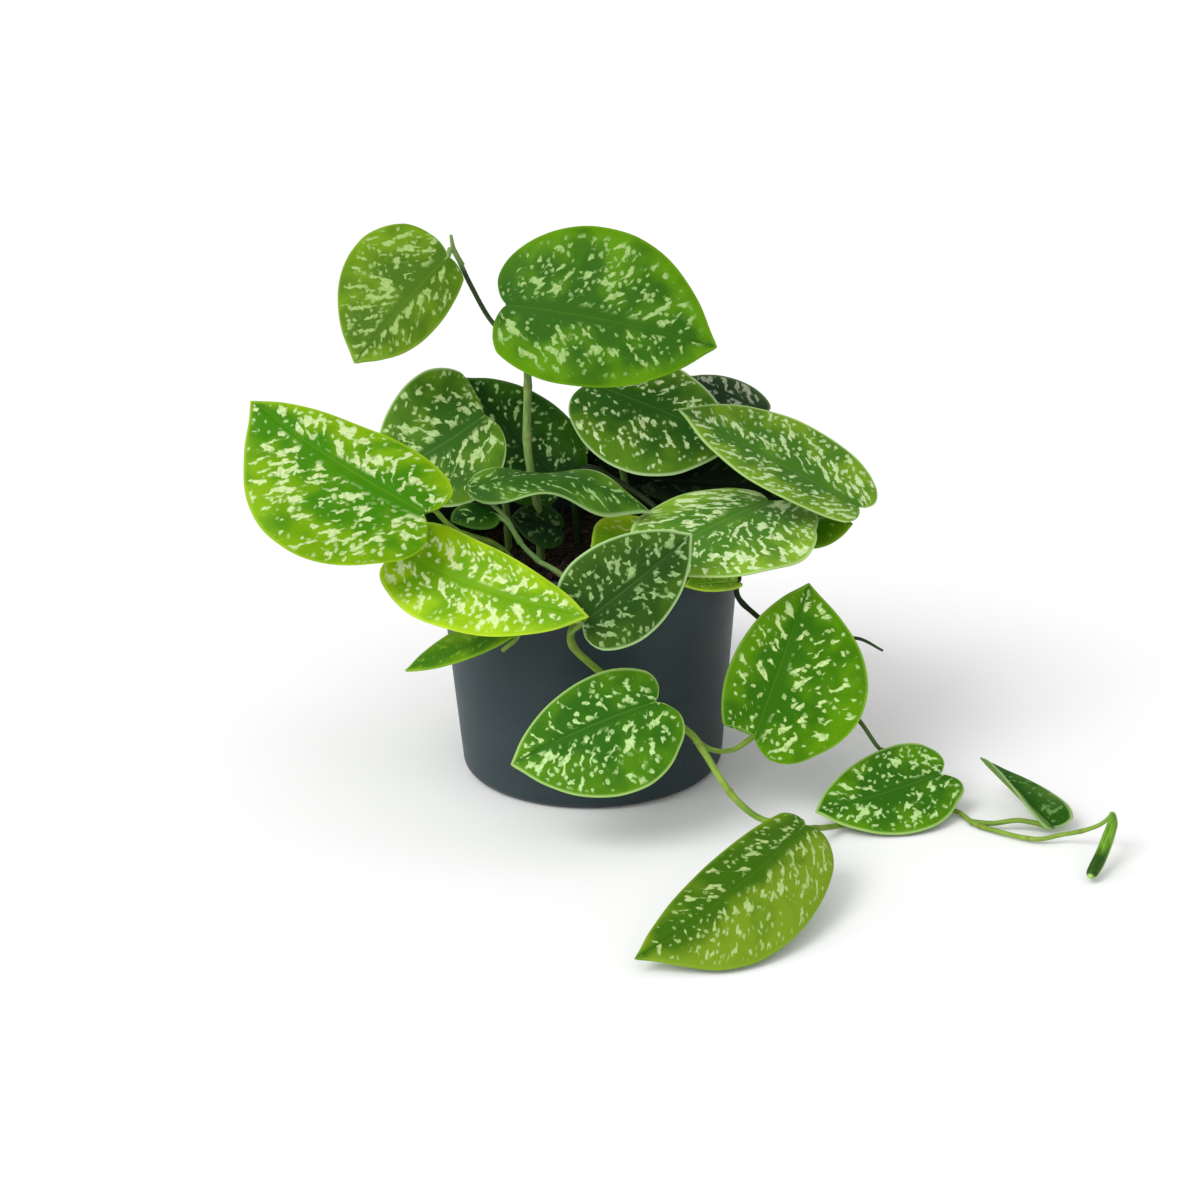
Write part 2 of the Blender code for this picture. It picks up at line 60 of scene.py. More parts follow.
# Pot
POT_HEIGHT = 98.0
RIM_RADIUS = 61.4
RIM_DEPTH = 6.0
RIM_ROUNDS = (0.9, 0.8)
RIM_BLEND = 1.2
WALL_TOP_RADIUS = 60.6
WALL_FOOT_RADIUS = 52.6
WALL_START = 12.0
WALL = 1.3
POT_FLOOR = 1.6
FOOT_ROUND = 5.4
RECESS_INNER = 26.0
RECESS_OUTER = 38.0
RECESS_DEPTH = 1.0
RECESS_SLOPE = 0.3
EDGE_ROUND = 0.5
DRAIN_HOLES = 6
DRAIN_RADIUS = 3.5
DRAIN_SIDES = 32

# Soil
SOIL_TOP = 88.0
SOIL_GAP = 0.3
SOIL_RELIEF = 1.6
SOIL_RINGS = 56
SOIL_SEED = 11
CRUMBS = 1500
CRUMB_SIZES = (0.35, 2.3)
FIBRES = 110
FIBRE_LENGTHS = (3, 10)
FIBRE_RADII = (0.22, 0.5)

# Blades: their mesh, their thickness and their veins
BLADE_ROWS = 60
BLADE_SPANS = 20
FAN_SHARE = 0.25
BLADE_THICKNESS = 0.75
MARGIN_THICKNESS = 0.4
MARGIN_WIDTH = 4.0
MIDRIB_START = 0.05
MIDRIB_REACH = 0.93
MIDRIB_STEPS = 26
VEIN_ANGLE = radians(38)
VEIN_BEND = 0.006
RIB_SPACING = 7.5
# How far apart two blades lie in the textures, so that no two look the same
SEED_SHIFT = 40.0

# Stems and petioles
STEM_SIDES = 14
STEM_STEP = 1.6
STEM_RADIUS = 1.5
NODE_SPACING = 21.0
NODE_SWELL = 0.16
PETIOLE_SIDES = 10
PETIOLE_RADII = (0.9, 1.0)
FOOT_SWELL = 0.4
FOOT_LENGTH = 5.0
KNEE_SWELL = 0.16
KNEE_DEPTH = 0.7

# The young blade that is still rolled up
ROLL_STEPS = 44
ROLL_SPANS = 34
ROLL_TURNS = 1.45
ROLL_CORE = 0.62
ROLL_GROWTH = 0.38
ROLL_WIDTH = 18.0
ROLL_TIP_SHARE = 0.07

# Light: each lamp's place, power and spread (degrees)
WORLD_STRENGTH = 0.64
LAMPS = {
    "key": ((-0.9, -0.8, 1.2), 1.5, 32.0),
    "fill": ((-0.15, -1.2, 0.9), 0.82, 60.0),
    "side": ((-1.5, -0.25, 0.3), 1.0, 40.0),
}

# Heights above the plant, for a stem with no painted shade, green all over
NOWHERE = (300, 320)

# Floor (metres): its corners, and how far it lies below the pot's base
FLOOR_CORNERS = [(-6, -4, 0), (6, -4, 0), (6, 14, 0), (-6, 14, 0)]
FLOOR_DROP = 0.0001

# A crumb before it is made uneven
GOLD = (1 + sqrt(5)) / 2
ICOSAHEDRON = np.array([
    (-1, GOLD, 0), (1, GOLD, 0), (-1, -GOLD, 0), (1, -GOLD, 0), (0, -1, GOLD), (0, 1, GOLD),
    (0, -1, -GOLD), (0, 1, -GOLD), (GOLD, 0, -1), (GOLD, 0, 1), (-GOLD, 0, -1), (-GOLD, 0, 1),
]) / hypot(1, GOLD)
ICOSAHEDRON_FACES = [
    (0, 11, 5), (0, 5, 1), (0, 1, 7), (0, 7, 10), (0, 10, 11), (1, 5, 9), (5, 11, 4), (11, 10, 2),
    (10, 7, 6), (7, 1, 8), (3, 9, 4), (3, 4, 2), (3, 2, 6), (3, 6, 8), (3, 8, 9), (4, 9, 5), (2, 4, 11),
    (6, 2, 10), (8, 6, 7), (9, 8, 1),
]

# Half a blade's outline, sinus to tip: share of the half width, share of the length
OUTLINE = (
    (0.00, 0.00), (0.10, -0.05), (0.30, -0.085), (0.56, -0.05), (0.82, 0.07), (0.97, 0.22),
    (1.00, 0.36), (0.94, 0.52), (0.75, 0.70), (0.43, 0.86), (0.13, 0.957), (0.00, 1.00),
)


def leaf(name, kind, petiole, base, tip, face, half, **bends):
    """The facts of one leaf: its kind in LOOKS, its petiole's points, then its blade: where it starts,
    its tip, the way it faces (azimuth from the front, elevation), its left and right half widths, and how
    it bends. Angles are degrees."""
    facts = dict(name=name, kind=kind, petiole=petiole, base=base, tip=tip, face=face, half=half,
                 arch=0.0, fold=(0.0, 0.0), curl=(0.0, 0.0), slide=(0.0, 0.0), lobe=(1.0, 1.0),
                 sweep=0.0, twist=0.0, wave=(0.0, 2.0, 0.0))
    facts.update(bends)
    return facts


# Each shoot: its stem's pale and dark green, between which heights the stem has painted shade, nearly
# black, its slot where that isn't foliage, its main stem, the stem's radius at both ends and its leaves,
# then its bare tips and side shoots, and its rolled-up blade, as (points, radii)
SHOOTS = {
    "front_vine": dict(
        pale=(132, 160, 58), dark=(84, 120, 36),
        stem=[(10, -34, 80), (10, -35, 94), (10, -45, 103), (9, -56, 106), (4, -65, 101), (-4, -68, 88),
              (-7, -68, 77), (2, -67, 66), (19, -70, 52), (36, -75, 43), (42, -81, 37), (48, -89, 29),
              (54, -94, 22), (61, -98, 17), (68, -100, 15), (76, -97, 12), (84, -89, 7.5), (94, -77, 3),
              (105, -68, 1.5), (120, -62, 1.5), (132, -60, 1.5), (141, -63, 1.5), (146, -74, 1.5),
              (154, -82, 1.5), (167, -91, 2.0), (177, -92, 4), (185, -95, 7), (191, -98, 11),
              (195, -98, 15)],
        radius=(1.7, .8), leaves=[
            leaf("H", "deep", [(-7, -68, 78), (-7, -74, 83)], (-2, -80, 89.5), (39, -70, 120), (0, 20),
                 (20.5, 18.5), slide=(-.07, -.04), lobe=(1.1, .7), sweep=.01, arch=12, wave=(.8, 2.2, .1)),
            leaf("M", "ripe", [(34, -75, 44), (31, -77, 49)], (24, -78, 56), (-30.5, -92, 37.5), (5, 35),
                 (30, 17.5), lobe=(1.4, .7), slide=(-.01, -.07), sweep=.02, arch=14, fold=(4, 4)),
            leaf("L", "vivid", [(39, -78, 40), (46, -76, 35), (54, -70, 32.5)], (62.5, -62, 34.5),
                 (85, -38, 88), (10, 30), (18.5, 36.5), slide=(0, .04), lobe=(-.2, 1.3), arch=10),
            leaf("N", "gold", [(75, -98, 12.5), (77, -112, 21)], (77, -124, 24.5), (13.5, -192, 6),
                 (10, 60), (28.5, 14), sweep=-.045, slide=(.2, .03), lobe=(.6, .3), arch=20),
            leaf("P", "folded", [(145, -73, 1.5), (153, -78, 3), (162, -79, 4.5), (169, -81, 4)],
                 (175, -82.5, 3.5), (152, -44, 16), (50, 60), (9.5, 11.5), fold=(22, 35),
                 slide=(-.14, -.12), lobe=(.5, .5), twist=-40),
        ],
        rolled=([(195, -98, 15), (194, -104, 14), (191, -111, 10.5), (187, -119, 6.5),
                 (182, -128, 3)], (1.2, 1.9, 2.2, 2.3, 2.4, 2.0))),
    "right_vine": dict(
        pale=(78, 108, 40), dark=(40, 64, 24), painted_shade_span=(58, 300),
        stem=[(-4, 12, 80), (-4, 12, 92), (-5, 9, 106), (-4, 8, 117), (1, 8, 122), (12, 6, 116.5),
              (24, 0, 110), (34, -12, 103), (43, -22, 100.5), (51, -30, 102), (56.2, -32, 97),
              (57.2, -31, 88), (58.2, -30, 79.5), (66, -31, 71.5), (82, -34, 57), (104, -40, 32),
              (113, -44, 20), (125, -49, 13)],
        radius=(1.5, .8), leaves=[
            leaf("O", "ripe", [(113, -44, 20), (124, -50, 15)], (134.5, -55, 14), (85, -75, 8), (0, 60),
                 (21.5, 20), lobe=(1.5, 1.1), slide=(-.02, -.1), sweep=-.03, arch=8),
            leaf("U", "painted_sunlit", [(57, -31, 90), (58, -33.5, 89)], (57.5, -37, 88.5), (36, -66, 98),
                 (40, 40), (3, 7)),
        ],
        tips=[([(82, -34, 57), (93, -35, 62), (104, -36, 64), (114, -37, 59)], (.9, .8, .7, .5))]),
    "left_shoot": dict(
        pale=(124, 154, 62), dark=(82, 118, 38), slot="young_foliage",
        stem=[(-30, -24, 80), (-30, -25, 94), (-37, -33, 105), (-46, -43, 111)],
        radius=(1.8, 1.4), leaves=[
            leaf("J", "young", [(-46, -43, 111), (-53, -54, 121), (-57, -63, 129)], (-61, -70, 131),
                 (-124.5, -50, 169), (-5, 40), (38.5, 19), slide=(.11, -.14), lobe=(1.3, .6), sweep=-.03,
                 arch=16, wave=(.8, 2.0, .3)),
            leaf("I", "lime", [(-42, -38, 109), (-53, -47, 116), (-62, -54, 117)], (-68.5, -58, 110),
                 (0, -88, 94.5), (0, 40), (17.5, 20.5), slide=(-.11, -.1), sweep=.045, lobe=(.1, 1),
                 arch=10, wave=(.6, 2.4, 0)),
            leaf("K", "bare", [(-33, -29, 100), (-34, -44, 105), (-34, -57, 104), (-32, -66, 96)],
                 (-30, -70, 83), (-71, -58, 63), (-20, 60), (6, 12)),
        ],
        tips=[([(-33, -64, 99), (-27, -69, 89), (-27, -72, 82), (-33, -73, 76)], (1.0, 1.0, 1.2, .9))]),
    "upright_shoot": dict(
        pale=(130, 156, 82), dark=(74, 104, 48), painted_shade_span=(180, 206),
        stem=[(-19, -5, 80), (-19, -5, 105), (-22, -5, 126), (-23, -5, 140), (-22, -5, 163),
              (-23, -4, 174)],
        radius=(1.8, 1.5), leaves=[
            leaf("B", "fresh", [(-23, -4, 174), (-25, -4, 184)], (-29, -12, 194), (50.5, -30, 180.5),
                 (5, 25), (36.5, 27), curl=(-10, -10), slide=(.03, 0), lobe=(.9, .5), sweep=-.015, arch=14,
                 wave=(.9, 2.2, 0)),
            leaf("A", "olive",
                 [(-23, -4, 174), (-35, 0, 184), (-43, 0, 199), (-48, 0, 211), (-50, 0, 214)],
                 (-51.5, -2, 211), (-87.5, -22, 175), (-20, 30), (15.5, 34.5), fold=(-10, 0),
                 curl=(-10, -10), slide=(.1, -.05), lobe=(.1, .7), arch=12),
            leaf("W3", "painted_darker_shade", [(-19, -5, 98), (-15, -7, 101)], (-11, -8, 102), (-30, -14, 109), (0, 50),
                 (10, 10)),
        ],
        tips=[([(-46, 0, 207), (-49, 0, 213), (-50, 0, 219)], (1.1, 1.0, .6))]),
    "back_left_shoot": dict(
        pale=(118, 148, 78), dark=(70, 102, 42), slot="pale_foliage",
        stem=[(-32, 6, 80), (-32, 6, 100), (-34, 6, 122), (-36, 6, 137)],
        radius=(1.6, 1.3), leaves=[
            leaf("C", "mild", [(-36, 6, 137), (-38, 7, 142)], (-40, 5, 145), (-83, -5, 123), (-10, 35),
                 (27, 30.5), slide=(.02, -.06), lobe=(.8, .4), sweep=-.045, arch=16),
        ]),
    "centre_shoot": dict(
        pale=(128, 158, 92), dark=(84, 118, 54),
        stem=[(-8, -42, 80), (-8, -42, 91), (-12, -39, 95), (-19, -35, 98)],
        radius=(1.2, 1.05), leaves=[
            leaf("R", "calm", [(-19, -35, 98), (-26, -30, 104), (-32, -27, 114)], (-44, -24, 125.5),
                 (25, -35, 116.5), (0, 72), (12.5, 11.5), fold=(-12, -18), slide=(-.03, .16),
                 lobe=(.5, .4), sweep=-.05, arch=46, wave=(4.6, 1.3, .3)),
            leaf("W1", "shade", [(-26, -30, 104), (-31, -28, 112)], (-37, -28, 116), (-52, -40, 117),
                 (0, 60), (8, 8)),
        ]),
    "right_shoot": dict(
        pale=(108, 138, 64), dark=(60, 92, 34),
        stem=[(28, -4, 80), (28, -4, 92), (38, -3, 101), (55, -6, 105)],
        radius=(1.7, 1.4), leaves=[
            leaf("G", "clear", [(55, -6, 105), (66, -9, 108)], (70.5, -15, 114), (19, -60, 103), (0, 70),
                 (36.5, 24), slide=(-.03, .21), lobe=(2, .5), arch=14, wave=(.7, 2, .2)),
            leaf("F", "light", [(55, -6, 105), (76, -8, 103), (96, -12, 107)], (105.5, -18, 112),
                 (36, -14, 152), (15, 55), (21.5, 25), fold=(20, 0), slide=(.11, -.02), lobe=(.2, .9),
                 sweep=-.02, arch=10),
            leaf("F2", "bare", [(66, -7, 104), (74, -4, 106)], (80, -3, 103), (104.5, -6, 101), (0, 40),
                 (6, 12)),
        ]),
    "inner_right_shoot": dict(
        pale=(100, 130, 58), dark=(54, 84, 32),
        stem=[(16, 18, 80), (16, 18, 96), (14, 20, 120), (8, 23, 143)],
        radius=(1.6, 1.3), leaves=[
            leaf("E", "cool", [(8, 23, 143), (5, 24, 149)], (3, 24, 152), (60, 6, 131), (-5, 45),
                 (20, 31.5), fold=(5, 5), slide=(0, .07), arch=12),
            leaf("S", "painted_sunlit", [(16, 17, 90), (24, 4, 97), (30, -8, 100)], (27, -14, 102), (1, -25, 100),
                 (0, 50), (4, 12), slide=(0, .2)),
        ]),
    "rear_left_shoot": dict(
        pale=(88, 118, 50), dark=(48, 76, 28), slot="shaded_foliage",
        stem=[(-16, 32, 80), (-16, 32, 96), (-18, 36, 108), (-22, 40, 116)],
        radius=(1.7, 1.3), leaves=[
            leaf("D", "shade", [(-16, 32, 100), (-14, 27, 108)], (-11, 20, 113), (-49, 40, 151), (0, 25),
                 (22, 20), slide=(0, -.05)),
            leaf("b1", "cool", [(-22, 40, 116), (-25, 43, 119)], (-28, 46, 120), (-66, 82, 100), (215, 50),
                 (24, 28), arch=16),
            leaf("b4", "ripe", [(-18, 36, 108), (-14, 48, 113), (-12, 57, 111)], (-12, 64, 106),
                 (-26, 98, 62), (185, 30), (24, 22), arch=14),
            leaf("b6", "ripe", [(-20, 38, 112), (-34, 34, 118), (-46, 30, 117)], (-56, 28, 112),
                 (-92, 46, 84), (245, 45), (24, 19), arch=16),
            # b9 is near black with painted shade.
            leaf("b9", "painted_black_shade", [(-16, 32, 98), (-24, 26, 102), (-31, 21, 105)], (-36, 18, 106),
                 (-70, 0, 108), (0, 40), (12, 10), arch=8),
        ]),
    "rear_right_shoot": dict(
        pale=(88, 118, 50), dark=(48, 76, 28), slot="shaded_foliage",
        stem=[(24, 34, 80), (24, 34, 96), (24, 38, 110), (20, 42, 120)],
        radius=(1.7, 1.3), leaves=[
            leaf("b2", "ripe", [(20, 42, 120), (14, 46, 125)], (10, 50, 126), (6, 104, 98), (180, 45),
                 (30, 22), arch=16),
            leaf("b3", "cool", [(24, 38, 110), (32, 42, 118)], (40, 44, 121), (80, 70, 100), (140, 50),
                 (22, 27), arch=16),
            leaf("b5", "ripe", [(24, 37, 106), (28, 50, 110), (30, 58, 108)], (32, 64, 104), (50, 90, 60),
                 (160, 30), (20, 24), arch=14),
            leaf("V", "slate", [(24, 37, 106), (40, 26, 115), (58, 22, 130)], (70, 22, 140), (42, 32, 152),
                 (0, 45), (7, 8)),
            # b7 and b8 are filler blades, near black with painted shade, where the inside of the plant
            # lies in shade.
            leaf("b7", "painted_black_shade", [(24, 34, 97), (24, 25, 102), (25, 18, 108)], (28, 14, 114), (98, 9, 108.5),
                 (0, 30), (15, 10), arch=10),
            leaf("b8", "painted_black_shade", [(24, 34, 93), (17, 33, 96), (10, 31, 99)], (5, 29, 103), (42, 25, 127),
                 (0, 12), (20, 15), arch=8),
        ]),
}

# Each kind of blade, in blade_look's order
LOOKS = {
    "young": ((58, 118, 2), (120, 162, 2), (190, 209, 148), (160, 194, 40), 0.45, 0.557, 2.2),
    "lime": ((96, 146, 8), (154, 190, 8), (197, 214, 151), (178, 206, 60), 0.5, 0.551, 3.4),
    "fresh": ((40, 86, 4), (84, 132, 0), (146, 175, 106), (106, 146, 20), 0.4, 0.589, 6.5),
    "olive": ((62, 97, 10), (102, 138, 16), (144, 171, 98), (130, 162, 60), 0.5, 0.564, 2.6),
    "ripe": ((42, 94, 10), (82, 132, 6), (179, 210, 139), (156, 190, 106), 0.8, 0.586, 3.0),
    "vivid": ((48, 102, 2), (90, 142, 0), (192, 217, 144), (142, 182, 70), 0.5, 0.612, 3.6),
    "gold": ((56, 98, 8), (116, 146, 30), (168, 191, 120), (122, 158, 44), 0.4, 0.603, 2.6, 0.42),
    "mild": ((49, 92, 20), (96, 136, 22), (174, 199, 132), (160, 190, 130), 0.9, 0.562, 2.4),
    "cool": ((50, 98, 26), (96, 138, 28), (218, 241, 178), (170, 198, 140), 1.0, 0.610, 2.4),
    "calm": ((42, 84, 18), (80, 122, 22), (146, 179, 112), (140, 172, 110), 0.9, 0.606, 2.4),
    "light": ((62, 108, 28), (114, 154, 30), (186, 209, 152), (168, 198, 122), 0.9, 0.576, 2.2),
    "clear": ((72, 120, 34), (132, 172, 44), (204, 225, 168), (168, 198, 122), 0.9, 0.530, 2.2),
    "deep": ((34, 68, 14), (58, 92, 16), (139, 168, 107), (150, 182, 120), 1.0, 0.568, 2.0),
    "folded": ((36, 80, 8), (106, 142, 64), (98, 136, 72), (150, 182, 116), 0.8, 0.62, 1.2, 0.5),
    "bare": ((58, 108, 4), (106, 150, 4), (112, 154, 44), (134, 170, 44), 0.4, 0.60, 3.0),
    # Painted light: brighter greens on small blades, so that they show as lit.
    "painted_sunlit": ((110, 160, 10), (168, 206, 20), (196, 220, 110), (190, 214, 80), 0.5, 0.63, 3.0),
    # Painted shade: darker greens for blades inside the plant, which lie in shade.
    "shade": ((20, 58, 6), (48, 94, 10), (154, 191, 118), (78, 112, 50), 0.6, 0.640, 2.4),
    # Painted shade, darker still.
    "painted_darker_shade": ((12, 40, 8), (26, 60, 12), (96, 124, 76), (60, 88, 44), 0.5, 0.62, 2.0),
    "slate": ((34, 58, 34), (58, 80, 44), (158, 166, 140), (110, 126, 90), 0.6, 0.55, 1.4),
    # Painted shade, near black, for filler blades where the inside of the plant lies in shade.
    "painted_black_shade": ((7, 24, 5), (16, 40, 8), (40, 62, 32), (40, 64, 28), 0.5, 0.61, 2.4),
}


def srgb(red, green, blue):
    """A colour given as it shows on a screen, from 0 to 255, as the shader needs it."""
    def linear(value):
        value /= 255
        return value / 12.92 if value <= 0.04045 else ((value + 0.055) / 1.055) ** 2.4
    return linear(red), linear(green), linear(blue), 1.0


def blade_look(deep, bright, silver, edge, band, level, plain, painted_side_light=0.0):
    """How a kind of blade looks: the green at its midrib and near its margin (darker at the midrib and
    lighter towards the margin, partly the blade's own tone and partly painted shade and painted light),
    its silver, its thin edge and how strongly that shows (band), the noise level that its silver strokes
    start at, the width of the plain stretch along its margin, and how much yellower its left half is, as
    painted light on that half and painted shade on the other (painted_side_light)."""
    return dict(deep=srgb(*deep), bright=srgb(*bright), silver=srgb(*silver), edge=srgb(*edge),
                band=band, level=level, plain=plain, painted_side_light=painted_side_light)


def unit(vector):
    return vector / np.linalg.norm(vector)


def spline(points, count):
    """A smooth curve through the points, as count + 1 evenly spaced places."""
    p = np.asarray(points, float)
    p = np.vstack([2 * p[0] - p[1], p, 2 * p[-1] - p[-2]])
    fine = []
    for a, b, c, d in zip(p, p[1:], p[2:], p[3:]):
        t = np.linspace(0, 1, 12, endpoint=False)[:, None]
        fine.append(0.5 * (2 * b + (c - a) * t + (2 * a - 5 * b + 4 * c - d) * t**2
                           + (3 * b - a - 3 * c + d) * t**3))
    fine = np.vstack(fine + [p[-2][None]])
    run = np.concatenate([[0], np.cumsum(np.linalg.norm(np.diff(fine, axis=0), axis=1))])
    stops = np.linspace(0, run[-1], count + 1)
    return np.stack([np.interp(stops, run, fine[:, k]) for k in range(p.shape[1])], 1)


def length_of(points):
    return np.linalg.norm(np.diff(np.asarray(points, float), axis=0), axis=1).sum()


class BladeSurface:
    """The middle surface of a blade, by side, share of the half width and share of the length."""

    def __init__(self, facts):
        self.facts = facts
        self.base = np.array(facts["base"], float)
        chord = np.array(facts["tip"], float) - self.base
        self.chord = np.linalg.norm(chord)
        self.along = chord / self.chord
        azimuth, elevation = np.radians(facts["face"])
        face = np.array([sin(azimuth) * cos(elevation), -cos(azimuth) * cos(elevation),
                         sin(elevation)])
        self.up = unit(face - face @ self.along * self.along)
        self.across = np.cross(self.along, self.up)

    def midrib(self, t):
        """The arched and swept midrib: its place across, along and up, and its pitch."""
        arch = radians(self.facts["arch"])
        if abs(arch) < 1e-6:
            y, z, pitch = t * self.chord, 0 * t, 0 * t
        else:
            radius = self.chord / (2 * sin(arch / 2))
            turn = arch * (t - 0.5)
            y = self.chord / 2 + radius * np.sin(turn)
            z = radius * (np.cos(turn) - cos(arch / 2))
            pitch = -turn
        x = self.facts["sweep"] * self.chord * 4 * t * (1 - t) * ((t > 0) & (t < 1))
        return x, y, z, pitch

    def point(self, side, across, along):
        """Points on one side: folded and curled out from the midrib, waved, twisted, and set along it."""
        facts = self.facts
        k = 0 if side < 0 else 1
        half = facts["half"][k]
        fold = radians(facts["fold"][k])
        curl = radians(facts["curl"][k])
        across, along = np.asarray(across, float), np.asarray(along, float)
        along = np.where(along < 0, along * facts["lobe"][k], along) + facts["slide"][k] * across**2
        if abs(curl) < 1e-4:
            out, lift = half * across * cos(fold), half * across * sin(fold)
        else:
            out = half / curl * (np.sin(fold + curl * across) - sin(fold))
            lift = half / curl * (cos(fold) - np.cos(fold + curl * across))
        height, waves, phase = facts["wave"]
        lift = lift + height * across**2 * np.sin(2 * pi * (waves * along + phase + 0.37 * k))
        x, y, z, pitch = self.midrib(along)
        turn = radians(facts["twist"]) * along
        sideways = side * out * np.cos(turn) - lift * np.sin(turn)
        lift = side * out * np.sin(turn) + lift * np.cos(turn)
        x, y, z = x + sideways, y - lift * np.sin(pitch), z + lift * np.cos(pitch)
        return (self.base + np.multiply.outer(x, self.across) + np.multiply.outer(y, self.along)
                + np.multiply.outer(z, self.up))


class Shades:
    """Adds nodes to one new material and links them."""

    def __init__(self, name):
        self.material = bpy.data.materials.new(name)
        self.material.use_nodes = True
        self.tree = self.material.node_tree
        self.shader = self.tree.nodes["Principled BSDF"]

    def plug(self, value, socket):
        if isinstance(value, bpy.types.NodeSocket):
            self.tree.links.new(value, socket)
        else:
            socket.default_value = value

    def set(self, name, value):
        self.plug(value, self.shader.inputs[name])

    def add(self, kind, inputs, **settings):
        made = self.tree.nodes.new(kind)
        for key, value in settings.items():
            setattr(made, key, value)
        for key, value in inputs.items():
            self.plug(value, made.inputs[key])
        return made

    def attribute(self, name):
        return self.add("ShaderNodeAttribute", {}, attribute_name=name).outputs["Vector"]

    def place(self):
        return self.add("ShaderNodeTexCoord", {}).outputs["Object"]

    def split(self, vector):
        return self.add("ShaderNodeSeparateXYZ", {0: vector}).outputs

    def vector(self, operation, a, b):
        return self.add("ShaderNodeVectorMath", {0: a, 1: b}, operation=operation).outputs[0]

    def math(self, operation, a, b=0.0):
        return self.add("ShaderNodeMath", {0: a, 1: b}, operation=operation).outputs[0]

    def times(self, a, b):
        return self.math("MULTIPLY", a, b)

    def plus(self, a, b):
        return self.math("ADD", a, b)

    def ramp(self, value, low, high, start=0.0, end=1.0):
        """A soft step from start to end as the value goes from low to high."""
        inputs = {"Value": value, "From Min": low, "From Max": high, "To Min": start, "To Max": end}
        return self.add("ShaderNodeMapRange", inputs, interpolation_type="SMOOTHSTEP").outputs["Result"]

    def noise(self, vector, scale, detail=2.0, roughness=0.5, output=0):
        inputs = {"Vector": vector, "Scale": scale, "Detail": detail, "Roughness": roughness}
        return self.add("ShaderNodeTexNoise", inputs).outputs[output]

    def voronoi(self, vector, scale):
        return self.add("ShaderNodeTexVoronoi", {"Vector": vector, "Scale": scale}).outputs

    def mix(self, share, a, b):
        return self.add("ShaderNodeMix", {0: share, 6: a, 7: b}, data_type="RGBA").outputs[2]

    def bump(self, height, strength, depth):
        inputs = {"Height": height, "Strength": strength, "Distance": depth * MM}
        self.set("Normal", self.add("ShaderNodeBump", inputs).outputs["Normal"])


def silver_marks(m, place, vein, share, rim, look):
    """Where a blade is silver: strokes along its side veins, fewer towards the margin, and small dots. The
    midrib and a stretch along the margin stay plain."""
    wobble = m.vector("SUBTRACT", m.noise(vein, 0.35, 2.0, 0.6, output=1), (0.5, 0.5, 0.5))
    bent = m.vector("ADD", vein, m.vector("MULTIPLY", wobble, (2.8, 2.8, 0.0)))
    drawn_out = m.vector("MULTIPLY", bent, (0.44, 1.04, 1.0))
    crowding = m.ramp(m.noise(place, 0.07, 1.0), 0.3, 0.7, 0.05, -0.05)
    thinning = m.ramp(share, 0.5, 0.95, -0.006, 0.04)
    level = m.plus(crowding, m.plus(thinning, look["level"]))
    strokes = m.ramp(m.math("SUBTRACT", m.noise(drawn_out, 0.40, 1.3, 0.5), level), -0.020, 0.055)
    cells = m.voronoi(bent, 0.44)
    dots = m.ramp(cells["Distance"], 0.44, 0.26)
    dots = m.times(dots, m.ramp(m.split(cells["Color"])[0], 0.60, 0.66))
    silver = m.math("MAXIMUM", strokes, m.times(dots, 0.8))
    inside = m.times(m.ramp(share, 0.07, 0.18), m.ramp(rim, 0.35 * look["plain"], look["plain"]))
    veil = m.ramp(m.noise(bent, 0.7, 2.5, 0.6), 0.3, 0.58, 0.56, 1.0)
    return m.times(m.times(silver, inside), veil)


def blade_greens(m, place, share, grain, look):
    """A blade's greens from its midrib to its margin, in soft clouds. The midrib has a fine pale line."""
    cloud = m.ramp(m.noise(place, 0.07, 2.0), 0.3, 0.7, -0.35, 0.3)
    # Painted light and painted shade: the left half lighter and yellower and the right half darker, as the
    # halves face the light differently.
    painted_side_light = m.ramp(m.split(place)[0], -12.0, 9.0, look["painted_side_light"], -look["painted_side_light"])
    outward = m.plus(m.plus(m.times(share, 0.8), cloud), painted_side_light)
    # Deep green at the midrib to bright green at the margin: partly the blade's own tone, partly painted
    # shade and painted light of its curved halves.
    green = m.mix(m.ramp(outward, 0.05, 1.0), look["deep"], look["bright"])
    green = m.mix(m.ramp(grain, 0.25, 0.75, 0.0, 0.25), green, look["deep"])
    # Painted shade along the sunk midrib.
    green = m.mix(m.ramp(share, 0.03, 0.15, 0.5, 0.0), green, look["deep"])
    return m.mix(m.ramp(share, 0.0, 0.022, 0.1, 0.0), green, look["edge"])


